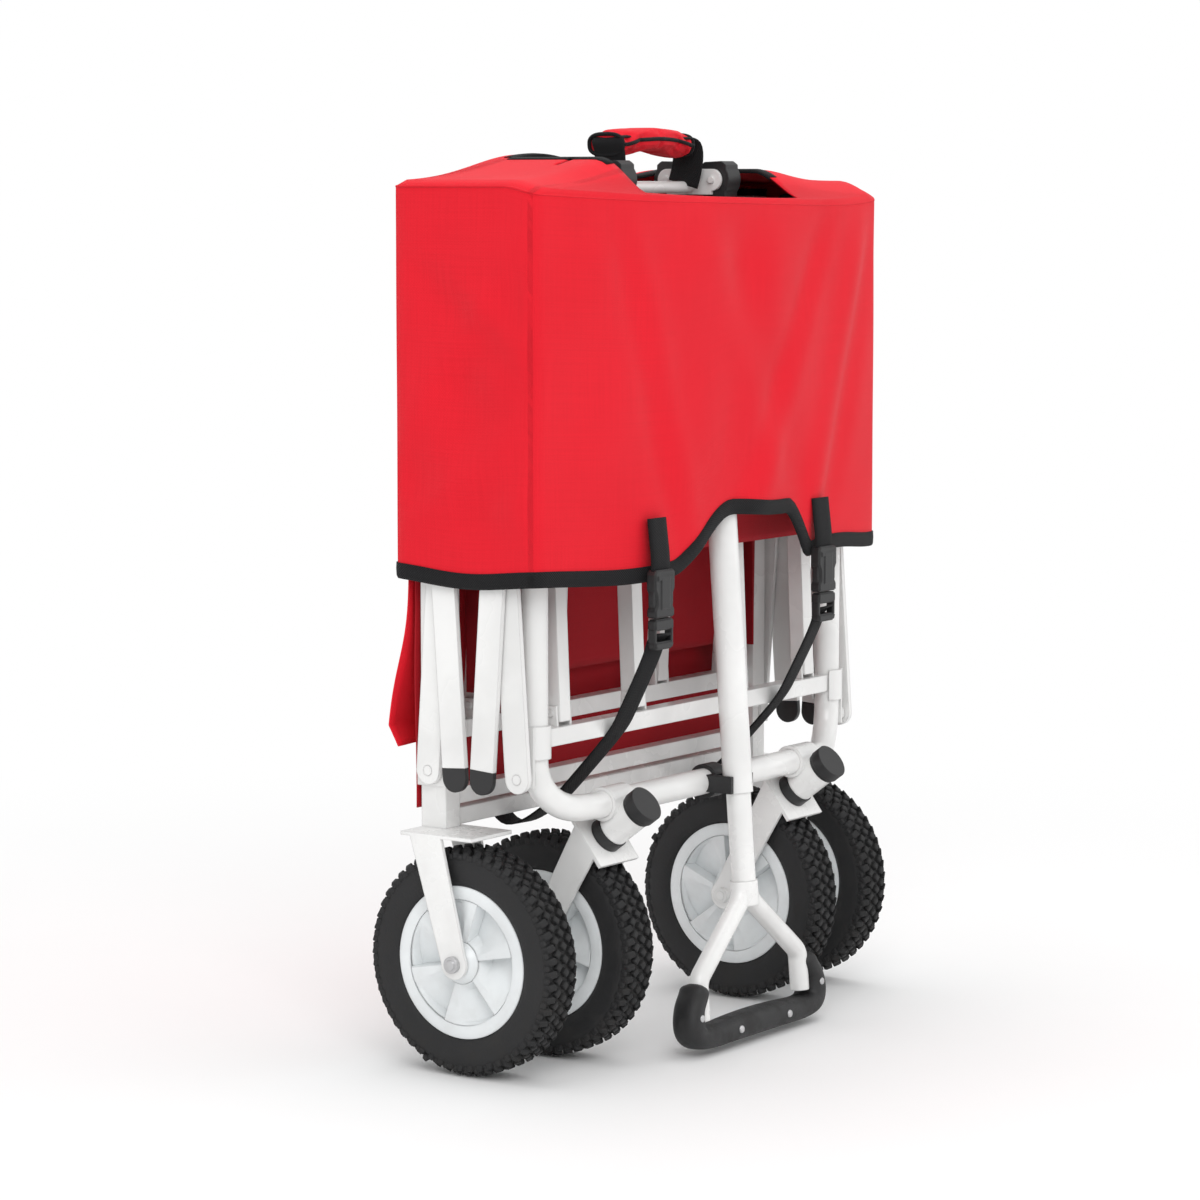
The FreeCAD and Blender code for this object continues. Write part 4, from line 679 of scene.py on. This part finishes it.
ring_tree = bpy.data.node_groups.new("blocks_round_tyre", "GeometryNodeTree")
ring_tree.interface.new_socket(name="Geometry", in_out="INPUT", socket_type="NodeSocketGeometry")
for label, kind in (("Block", "NodeSocketObject"), ("Count", "NodeSocketInt"),
                    ("Radius", "NodeSocketFloat"), ("Along", "NodeSocketFloat"),
                    ("Turn", "NodeSocketFloat"), ("Finish", "NodeSocketMaterial")):
    ring_tree.interface.new_socket(name=label, in_out="INPUT", socket_type=kind)
ring_tree.interface.new_socket(name="Geometry", in_out="OUTPUT", socket_type="NodeSocketGeometry")
sources = {s.name: s.identifier for s in ring_tree.interface.items_tree if s.in_out == "INPUT"}
ring_in = ring_tree.nodes.new("NodeGroupInput")
ring_out = ring_tree.nodes.new("NodeGroupOutput")
spots = ring_tree.nodes.new("GeometryNodeMeshCircle")
block_in = ring_tree.nodes.new("GeometryNodeObjectInfo")
placed = ring_tree.nodes.new("GeometryNodeInstanceOnPoints")
facing_out = ring_tree.nodes.new("FunctionNodeAlignEulerToVector")
facing_out.axis = "Z"
position = ring_tree.nodes.new("GeometryNodeInputPosition")
upright = ring_tree.nodes.new("GeometryNodeTransform")
upright.inputs["Rotation"].default_value = (0, math.radians(90), 0)
spun = ring_tree.nodes.new("GeometryNodeTransform")
along = ring_tree.nodes.new("ShaderNodeCombineXYZ")
angle = ring_tree.nodes.new("ShaderNodeCombineXYZ")
real = ring_tree.nodes.new("GeometryNodeRealizeInstances")
painted = ring_tree.nodes.new("GeometryNodeSetMaterial")
for a, out, b, into in (
        (ring_in, "Count", spots, "Vertices"), (ring_in, "Radius", spots, "Radius"),
        (ring_in, "Block", block_in, "Object"), (spots, "Mesh", upright, "Geometry"),
        (upright, "Geometry", placed, "Points"), (block_in, "Geometry", placed, "Instance"),
        (position, "Position", facing_out, "Vector"), (facing_out, "Rotation", placed, "Rotation"),
        (placed, "Instances", spun, "Geometry"), (ring_in, "Along", along, "X"),
        (ring_in, "Turn", angle, "X"), (along, "Vector", spun, "Translation"),
        (angle, "Vector", spun, "Rotation"), (spun, "Geometry", real, "Geometry"),
        (real, "Geometry", painted, "Geometry"), (ring_in, "Finish", painted, "Material"),
        (painted, "Geometry", ring_out, "Geometry")):
    ring_tree.links.new(a.outputs[out], b.inputs[into])


def rounded_block(name, size, turn=0.0, lean=0.0, edge=0.0007):
    """A small block with rounded edges, standing on the tyre's surface."""
    shape = bmesh.new()
    bmesh.ops.create_cube(shape, size=1)
    for v in shape.verts:
        taper = 0.86 if v.co.z > 0 else 1.0
        v.co = Vector((v.co.x * size[0] * taper, v.co.y * size[1] * taper, v.co.z * size[2]))
    bmesh.ops.bevel(shape, geom=shape.edges[:], offset=edge, segments=1, affect="EDGES")
    c, s = math.cos(turn), math.sin(turn)
    for v in shape.verts:
        v.co = Vector((v.co.x * c - v.co.y * s, v.co.x * s + v.co.y * c, v.co.z + v.co.x * lean))
    mesh = bpy.data.meshes.new(name)
    shape.to_mesh(mesh)
    shape.free()
    made = bpy.data.objects.new(name, mesh)
    scene.collection.objects.link(made)
    return made


def turned(name, profile, steps, material):
    """A closed profile of (along X, radius) points turned about X."""
    angles = np.linspace(0, 2 * math.pi, steps, endpoint=False)
    points = [(x, r * math.sin(a), r * math.cos(a)) for a in angles for x, r in profile]
    sides = len(profile)
    faces = [(s * sides + k, ((s + 1) % steps) * sides + k,
              ((s + 1) % steps) * sides + (k + 1) % sides, s * sides + (k + 1) % sides)
             for s in range(steps) for k in range(sides)]
    return put_in_scene(name, points, faces, None, material)


def block_ring(block, count, radius, across, turn):
    """One row of blocks round the tyre, as a mesh of its own."""
    holder = bpy.data.objects.new("row", bpy.data.meshes.new("row"))
    scene.collection.objects.link(holder)
    rows_of = holder.modifiers.new("row", "NODES")
    rows_of.node_group = ring_tree
    for label, value in (("Block", block), ("Count", count), ("Radius", radius),
                         ("Along", across), ("Turn", turn), ("Finish", tyre_rubber)):
        rows_of[sources[label]] = value
    bpy.context.view_layer.update()
    mesh = bpy.data.meshes.new_from_object(
        holder.evaluated_get(bpy.context.evaluated_depsgraph_get()))
    bpy.data.objects.remove(holder)
    return mesh


shoulder_l = rounded_block("shoulder_l", (0.0062, 0.0066, 0.0050), 0.35, 0.62)
shoulder_r = rounded_block("shoulder_r", (0.0062, 0.0066, 0.0050), -0.35, -0.62)
edge_block = rounded_block("edge_block", (0.0030, 0.0052, 0.0046), 0.0, 0.0)
middle_a = rounded_block("middle_a", (0.0066, 0.0058, 0.0040), 0.78)
middle_b = rounded_block("middle_b", (0.0066, 0.0058, 0.0040), -0.78)
tyre_rows = [(middle_a, 54, 0.0874, -0.0084, 0.0), (middle_b, 54, 0.0877, 0.0, 0.058),
             (middle_a, 54, 0.0874, 0.0084, 0.0), (shoulder_l, 54, 0.0855, -0.0146, 0.058),
             (shoulder_r, 54, 0.0855, 0.0146, 0.058), (edge_block, 54, 0.0832, -0.0172, 0.0),
             (edge_block, 54, 0.0832, 0.0172, 0.0)]
carcass_profile = [(-0.0120, 0.0590), (-0.0158, 0.0602), (-0.0180, 0.0640), (-0.0187, 0.0700),
                   (-0.0186, 0.0770), (-0.0180, 0.0806), (-0.0160, 0.0838), (-0.0100, 0.0856),
                   (0.0, 0.0861), (0.0100, 0.0856), (0.0160, 0.0838), (0.0180, 0.0806),
                   (0.0186, 0.0770), (0.0187, 0.0700), (0.0180, 0.0640), (0.0158, 0.0602),
                   (0.0120, 0.0590)]
carcass = turned("tyre_whole", carcass_profile[::-1], 96, tyre_rubber)
whole = bmesh.new()
whole.from_mesh(carcass.data)
for row in tyre_rows:
    whole.from_mesh(block_ring(*row))
whole.to_mesh(carcass.data)
whole.free()
for block in (shoulder_l, shoulder_r, edge_block, middle_a, middle_b):
    bpy.data.objects.remove(block)

spokes, fine = 6, 14
hub_half, boss_radius, dish_radius = 0.0165, 0.0165, 0.0500
pocket_start, pocket_deep, spoke_turn = 0.24, 0.0125, 0.016
hub_points, hub_faces = [], []
radii = np.linspace(boss_radius, dish_radius, 12)
across, count = len(radii), spokes * fine
for face in (-1, 1):
    base = len(hub_points)
    for k in range(count):
        share = (k % fine) / (fine - 1)
        a = 2 * math.pi * (k // fine + share) / spokes
        if k % fine == 0:
            a += spoke_turn
        deep = 0.0
        if share >= pocket_start:
            deep = pocket_deep * ((share - pocket_start) / (1 - pocket_start)) ** 0.8
        for r in radii:
            fade = min(1.0, (r - boss_radius) / 0.006, (dish_radius - r) / 0.003)
            x = face * (hub_half - max(deep * fade, 0.0))
            hub_points.append((x, r * math.sin(a), r * math.cos(a)))
    for k in range(count):
        for j in range(across - 1):
            a, b = base + k * across + j, base + ((k + 1) % count) * across + j
            quad = (a, b, b + 1, a + 1)
            hub_faces.append(quad if face > 0 else quad[::-1])
hub_shell = put_in_scene("hub_whole", hub_points, hub_faces, None, hub_plastic, smooth=False)
parts = [turned("rim_part", [(-0.0165, 0.0496), (-0.0168, 0.0504), (-0.0170, 0.0580),
                             (-0.0164, 0.0600), (-0.0120, 0.0604), (0.0120, 0.0604),
                             (0.0164, 0.0600), (0.0170, 0.0580), (0.0168, 0.0504),
                             (0.0165, 0.0496)], 96, hub_plastic),
         turned("boss_part", [(-0.0215, 0.0045), (-0.0220, 0.0060), (-0.0218, 0.0115),
                              (-0.0200, 0.0140), (-0.0165, 0.0168), (0.0165, 0.0168),
                              (0.0200, 0.0140), (0.0218, 0.0115), (0.0220, 0.0060),
                              (0.0215, 0.0045)], 48, hub_plastic)]
whole = bmesh.new()
whole.from_mesh(hub_shell.data)
for part in parts:
    whole.from_mesh(part.data)
    bpy.data.objects.remove(part)
whole.to_mesh(hub_shell.data)
whole.free()
hub_shell.data.set_sharp_from_angle(angle=math.radians(32))
hub_shell.data.polygons.foreach_set("use_smooth", [True] * len(hub_shell.data.polygons))
wheel_turns = {"rear_left": 0.35, "rear_right": 1.1, "front_left": 0.8, "front_right": 2.0}
for end in ("rear", "front"):
    for side in ("left", "right"):
        low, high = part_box("tyre_%s_%s" % (end, side))
        centre = (low + high) / 2
        for source, label, finish in ((carcass, "tyre", "tyre_rubber"),
                                      (hub_shell, "hub", "hub_plastic")):
            mesh = source.data.copy()
            piece = bpy.data.objects.new("%s_%s_%s_shown" % (label, end, side), mesh)
            scene.collection.objects.link(piece)
            a = wheel_turns["%s_%s" % (end, side)]
            points = points_of(piece)
            points = np.stack([points[:, 0], points[:, 1] * math.cos(a) - points[:, 2]
                               * math.sin(a), points[:, 1] * math.sin(a) + points[:, 2]
                               * math.cos(a)], 1) + np.array(centre)
            mesh.vertices.foreach_set("co", points.ravel())
            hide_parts("%s_%s_%s" % (label, end, side))
            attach(piece, "wheel_%s_%s" % (end, side))
bpy.data.objects.remove(carcass)
bpy.data.objects.remove(hub_shell)


# ---------------------------------------------------------------- grip
# The pull handle ends in a grip of hard black plastic: two rounded ears that take the fork's
# tubes, and a bar between them that is fuller at its middle. Four small screws hold its halves.

grip_plastic = hard_material("grip_plastic", (0.012, 0.012, 0.013), (0.05, 0.05, 0.05), 0.50,
                             0.6, 1400.0, dust=0.02)


def lofted(name, line, wide, deep, normal, material, sides=28, power=2.6):
    """A solid along a line in a plane: each place has a half width in the plane and a depth."""
    line = np.asarray(line)
    ahead = np.gradient(line, axis=0)
    ahead /= np.linalg.norm(ahead, axis=1)[:, None]
    across = np.cross(ahead, np.asarray(normal)[None])
    turn = np.linspace(0, 2 * math.pi, sides, endpoint=False)
    c, d = np.cos(turn), np.sin(turn)
    c, d = np.sign(c) * np.abs(c) ** (2 / power), np.sign(d) * np.abs(d) ** (2 / power)
    points = (line[:, None] + across[:, None] * c[None, :, None] * wide[:, None, None]
              + np.asarray(normal)[None, None] * d[None, :, None] * deep[:, None, None])
    faces = quads(len(line), sides, True)
    faces.append(tuple(range(sides))[::-1])
    faces.append(tuple(range((len(line) - 1) * sides, len(line) * sides)))
    run = np.concatenate([[0], np.cumsum(np.linalg.norm(np.diff(line, axis=0), axis=1))])
    girth = turn * float(np.mean(wide) + np.mean(deep)) / 2
    flat = np.stack(np.broadcast_arrays(run[:, None], girth[None]), 2).reshape(-1, 2)
    return put_in_scene(name, points.reshape(-1, 3), faces, flat, material)


lean = math.radians(4.3)
handle_down = np.array([0, -math.sin(lean), -math.cos(lean)])
handle_front = np.array([0, -math.cos(lean), math.sin(lean)])
handle_pin = np.array([0, -0.074, 0.436])


def on_handle(x, down, out=0.0):
    """A point of the handle at rest: across, down from its pin, and out from its axis."""
    return np.array([x, 0, 0]) + handle_pin + handle_down * down + handle_front * out


reach = 0.436 / math.cos(lean)
ear = [(0.0300, 0.0145), (0.0740, 0.0125), (0.0910, 0.018), (0.0905, 0.038), (0.0800, 0.050),
       (0.0780, 0.058)]
corners = [(-x, z) for x, z in reversed(ear)] + ear
grip_line = smooth_line([on_handle(x, reach - z) for x, z in corners], 84)
share = np.linspace(-1, 1, 84)
end_round = np.sqrt(np.clip(1 - np.clip((np.abs(share) - 0.955) / 0.045, 0, 1) ** 2, 0.04, 1))
full = (0.0096 + 0.0012 * np.cos(share * math.pi)
        + 0.0016 * np.exp(-((np.abs(share) - 0.72) / 0.1) ** 2))
deep = 0.0125 + 0.0012 * np.cos(share * math.pi / 2)
grip = lofted("grip_shown", grip_line, full * end_round, deep * end_round, handle_front,
              grip_plastic)
rounder = grip.modifiers.new("round", "SUBSURF")
rounder.levels = rounder.render_levels = 1
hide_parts("grip_front_half", "grip_rear_half")
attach(grip, "handle_inner")
screws = bmesh.new()
for x, z, out in ((-0.0895, 0.032, 0.0122), (-0.036, 0.0142, 0.0137), (0.036, 0.0142, 0.0137),
                  (0.0895, 0.032, 0.0122)):
    centre = on_handle(x, reach - z, out)
    rings = [(0.0031, -0.001), (0.0031, 0.0002), (0.0027, 0.0009), (0.0016, 0.0013)]
    cells = []
    for radius, lift in rings:
        ring = []
        for a in np.linspace(0, 2 * math.pi, 24, endpoint=False):
            offset = (np.array([math.cos(a), 0, 0]) - handle_down * math.sin(a)) * radius
            ring.append(screws.verts.new(centre + offset + handle_front * lift))
        cells.append(ring)
    for first, second in zip(cells, cells[1:]):
        for k in range(24):
            screws.faces.new((first[k], second[k], second[(k + 1) % 24], first[(k + 1) % 24]))
    screws.faces.new(cells[-1][::-1])
    screws.faces.new(cells[0])
bmesh.ops.recalc_face_normals(screws, faces=screws.faces)
screw_mesh = bpy.data.meshes.new("grip_screws_shown")
screws.to_mesh(screw_mesh)
screws.free()
screw_mesh.materials.append(zinc_plate)
screw_heads = bpy.data.objects.new("grip_screws_shown", screw_mesh)
scene.collection.objects.link(screw_heads)
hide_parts("grip_screws")
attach(screw_heads, "handle_inner")


# ---------------------------------------------------------------- carry strap and its wrap
# A loop of black webbing comes up from the hinges' rod through the cover's opening. A padded
# red wrap with black piping goes round its top, and cloth simulation rounds it.
carry_route = [(-0.052, 0.000, 0.690), (-0.054, -0.004, 0.712), (-0.060, -0.002, 0.729),
               (-0.030, 0.0, 0.7265), (0.020, 0.0, 0.7265), (0.052, -0.002, 0.728),
               (0.056, -0.006, 0.712), (0.054, 0.000, 0.690)]
carry_line = smooth_line(carry_route, 70)
ahead = np.gradient(carry_line, axis=0)
carry = swept("carry_strap_shown", carry_line, np.cross(ahead, np.tile([0, 1.0, 0.0], (70, 1))),
              web_profile(0.030, 0.0022), black_webbing, False)
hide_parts("carry_strap")
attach(carry, "hinge_links")
along_it, round_it = 44, 40
along_pad = np.linspace(-0.056, 0.044, along_it)
pad_line = np.stack([along_pad, 0 * along_pad, 0.7235 - 0.35 * (along_pad + 0.006) ** 2 * 2.2], 1)
from_end = np.clip((0.050 - np.abs(along_pad + 0.006)) / 0.050, 0, 1)
pad_deep = 0.0165 + 0.0015 * np.sqrt(from_end)
pad_tall = 0.0085 + 0.0016 * np.sqrt(from_end)
pad = lofted("carry_wrap", pad_line, pad_tall, pad_deep, (0, 1.0, 0), red_cloth,
             sides=round_it, power=2.8)
hold = pad.vertex_groups.new(name="held")
for index in list(range(round_it)) + list(range((along_it - 1) * round_it, along_it * round_it)):
    hold.add([index], 1.0, "REPLACE")
cloth = pad.modifiers.new("cloth", "CLOTH")
cloth.settings.quality = 6
cloth.settings.vertex_group_mass = "held"
cloth.settings.use_pressure = True
cloth.settings.uniform_pressure_force = 3
cloth.settings.shrink_min = -0.05
cloth.settings.bending_stiffness = 0.3
cloth.settings.effector_weights.gravity = 0
cloth.point_cache.frame_end = 16
settle(pad, 16, limit=0.0035)
rounder = pad.modifiers.new("round", "SUBSURF")
rounder.levels = rounder.render_levels = 1
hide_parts("carry_pad")
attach(pad, "hinge_links")
piping = [(0.0016 * math.cos(a), 0.0016 * math.sin(a)) for a in np.linspace(0, 2 * math.pi, 9)[:-1]]
wrap_points = points_of(pad).reshape(along_it, round_it, 3)
for label, line, closed in (("left", wrap_points[0], True), ("right", wrap_points[-1], True),
                            ("front", wrap_points[:, 30], False)):
    centre = line.mean(0) if closed else pad_line
    pipe = swept("wrap_piping_" + label, line, line - centre, piping, black_webbing, closed)
    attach(pipe, "hinge_links")


# ---------------------------------------------------------------- tub cloth
# The tub is lined with red cloth, painted darker as shade, since it lies inside the folded frame.
# Its end walls hang on the frames, its floor pads lie on the base bars, and a flap hangs down
# behind the rear wall. Each sags between its fixings.

tub_cloth = cloth_material("tub_cloth", (0.50, 0.010, 0.020), (0.33, 0.006, 0.012), 0.0012,
                           0.0003)


def sheet_of(name, width, heights, place_of, thick, material, columns=56):
    """A hanging cloth: place_of gives a point for each place across and each height."""
    across = np.linspace(-width / 2, width / 2, columns)
    points = np.array([[place_of(x, z) for x in across] for z in heights])
    flat = np.stack(np.broadcast_arrays(across[None], np.asarray(heights)[:, None]), 2)
    made = put_in_scene(name, points.reshape(-1, 3), quads(len(heights), columns, False),
                        flat.reshape(-1, 2), material)
    deep = made.modifiers.new("thick", "SOLIDIFY")
    deep.thickness = thick
    deep.offset = 0
    return made


def rear_wall_at(x, z):
    """The rear wall: flat at the rails and slack between them, with folds from its corners."""
    slack = math.sin((z - 0.204) * 14) * 0.5 + 0.5
    folds = math.sin(x * 46 + z * 17) * math.sin(z * 23 + 1.1) * 0.0011
    return (x, 0.0585 + 0.0008 + 0.0016 * slack + abs(folds), z)


def front_wall_at(x, z):
    """The front wall, slack between the top rail and its lower edge."""
    return (x, -0.0665 - 0.0014 * (0.5 + 0.5 * math.sin(x * 38 + z * 12)), z)


def flap_at(x, z):
    """The rear flap: it flares out downwards and its lower edge curls in."""
    share = (0.386 - z) / 0.134
    flare = 0.0015 + 0.026 * share ** 1.3
    edge = 0.012 * max(0.0, share - 0.88) / 0.12
    ripple = 0.0026 * share * math.sin(x * 41 + 1.3 * share) + 0.0014 * math.sin(x * 97 + z * 60)
    return (x * (1 + 0.010 * share), 0.0625 + flare + ripple - edge, z)


walls = ((sheet_of("rear_wall", 0.456, np.linspace(0.204, 0.671, 60), rear_wall_at, 0.0011,
                   tub_cloth), "rear_wall_cloth", "rear_frame", (0.456, 0.467), "tub_cloth"),
         (sheet_of("front_wall", 0.424, np.linspace(0.457, 0.671, 30), front_wall_at, 0.0011,
                   tub_cloth), "front_wall_cloth", "front_frame", (0.424, 0.214), "tub_cloth"),
         (sheet_of("rear_flap", 0.462, np.linspace(0.384, 0.252, 34), flap_at, 0.0012,
                   red_cloth), "rear_pocket", "rear_frame", (0.462, 0.136), "red_cloth"))
for piece, node_name, body, flat_size, finish in walls:
    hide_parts(node_name)
    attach(piece, body)

wide_it, tall_it = 46, 52
for end, sense in (("rear", 1), ("front", -1)):
    low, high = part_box(end + "_floor_mat")
    tilt = math.radians(2.504) * sense
    half_wide = (high.x - low.x) / 2
    thick = 0.006
    foot, head = low.z + 0.001, high.z - 0.001
    foot_y = (high.y if end == "rear" else low.y) - sense * thick / 2
    head_y = foot_y - math.tan(tilt) * (head - foot)
    across = np.linspace(-1, 1, wide_it)
    up_it = np.linspace(0, 1, tall_it)
    faces_of_pad = []
    for face in (-1, 1):
        u, v = np.meshgrid(across, up_it)
        crown = ((1 - u ** 8) * (1 - (2 * v - 1) ** 8)) ** 0.5
        channel = 1 - 0.6 * np.exp(-((np.abs(v - 0.5) - 0.22) / 0.012) ** 2)
        lift = face * (0.0005 + (thick / 2 - 0.0005) * crown * channel)
        y = foot_y + (head_y - foot_y) * v + lift
        faces_of_pad.append(np.dstack([u * half_wide, y, foot + (head - foot) * v]))
    both = np.vstack([faces_of_pad[0].reshape(-1, 3), faces_of_pad[1].reshape(-1, 3)])
    size = tall_it * wide_it
    grid = quads(tall_it, wide_it, False)
    skin = grid + [tuple(i + size for i in q[::-1]) for q in grid]
    ring = (list(range(wide_it)) + [(r + 1) * wide_it - 1 for r in range(1, tall_it)]
            + list(range(size - 2, size - wide_it - 1, -1))
            + [r * wide_it for r in range(tall_it - 2, 0, -1)])
    skin += [(ring[k], ring[k - 1], ring[k - 1] + size, ring[k] + size)
             for k in range(len(ring))]
    flat = both[:, [0, 2]]
    mat = put_in_scene(end + "_floor_pad", both, skin, flat, tub_cloth)
    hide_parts(end + "_floor_mat")
    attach(mat, end + "_panel")

# The side walls are folded between each frame and its base panel when the wagon is folded.
# Each half would open like a fan about the base pivots as the wagon opens. Here it is drawn
# folded, as pleats, and attached to no frame.
fan_reach, pleats = 0.385, 24
for end, sense in (("rear", 1), ("front", -1)):
    for side, sign in (("left", -1), ("right", 1)):
        spread = np.linspace(0, 1, 121)
        reach_up = np.linspace(0.012, fan_reach, 36)
        v, u = np.meshgrid(reach_up, spread, indexing="ij")
        pleat = np.abs(((u * pleats) % 2) - 1) - 0.5
        x = sign * (0.1966 + 0.0145 * pleat * np.clip(v / fan_reach, 0.1, 1))
        y = sense * (0.0345 - 0.0125 * u)
        points = np.dstack([x, y, 0.282 + v])
        fan = put_in_scene("side_cloth_%s_%s" % (end, side), points.reshape(-1, 3),
                           quads(36, 121, False), np.dstack([u * 0.55, v]).reshape(-1, 2),
                           tub_cloth)
        deep = fan.modifiers.new("thick", "SOLIDIFY")
        deep.thickness = 0.0008
        deep.offset = 0
        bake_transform(fan)


# ---------------------------------------------------------------- room and light
# The wagon stands on a pale floor that fades to white, in soft studio light from above and
# from both sides.
floor = put_in_scene("floor", [(-90, -90, -0.0006), (90, -90, -0.0006), (90, 90, -0.0006),
                               (-90, 90, -0.0006)], [(0, 1, 2, 3)])
floor_paint, tree, surface = new_material("floor_paint")
paper = noise_of(tree, tree.nodes.new("ShaderNodeTexCoord").outputs["Object"], 3)
tree.links.new(mix_of(tree, paper, (0.93, 0.93, 0.93), (0.90, 0.90, 0.90)),
               surface.inputs["Base Color"])
surface.inputs["Roughness"].default_value = 0.7
far_off = tree.nodes.new("ShaderNodeVectorMath")
far_off.operation = "LENGTH"
tree.links.new(tree.nodes["Texture Coordinate"].outputs["Object"], far_off.inputs[0])
bright = tree.nodes.new("ShaderNodeEmission")
bright.inputs["Strength"].default_value = 1.0
faded = tree.nodes.new("ShaderNodeMixShader")
tree.links.new(ramp_of(tree, far_off.outputs["Value"], 0.35, 1.5), faded.inputs["Fac"])
tree.links.new(surface.outputs["BSDF"], faded.inputs[1])
tree.links.new(bright.outputs["Emission"], faded.inputs[2])
tree.links.new(faded.outputs["Shader"], tree.nodes["Material Output"].inputs["Surface"])
floor.data.materials.append(floor_paint)
world = bpy.data.worlds.new("studio")
scene.world = world
world.use_nodes = True
world.node_tree.nodes["Background"].inputs["Color"].default_value = (1, 1, 1, 1)
seen_by = world.node_tree.nodes.new("ShaderNodeLightPath")
strength = math_of(world.node_tree, "MULTIPLY_ADD", seen_by.outputs["Is Camera Ray"], 0.22, 0.78)
world.node_tree.links.new(strength, world.node_tree.nodes["Background"].inputs["Strength"])
for label, at, power, size in (("key", (-2.4, -2.0, 2.4), 44, 2.0),
                               ("fill", (2.2, -2.2, 1.4), 9, 2.2),
                               ("top", (0.2, 0.2, 2.8), 20, 2.2)):
    lamp = bpy.data.lights.new(label, "AREA")
    lamp.energy, lamp.size = power, size
    holder = bpy.data.objects.new(label, lamp)
    holder.location = at
    holder.rotation_euler = (Vector((0, 0, 0.35)) - Vector(at)).to_track_quat("-Z", "Y").to_euler()
    scene.collection.objects.link(holder)
scene.view_settings.view_transform = "Standard"
scene.view_settings.look = "None"
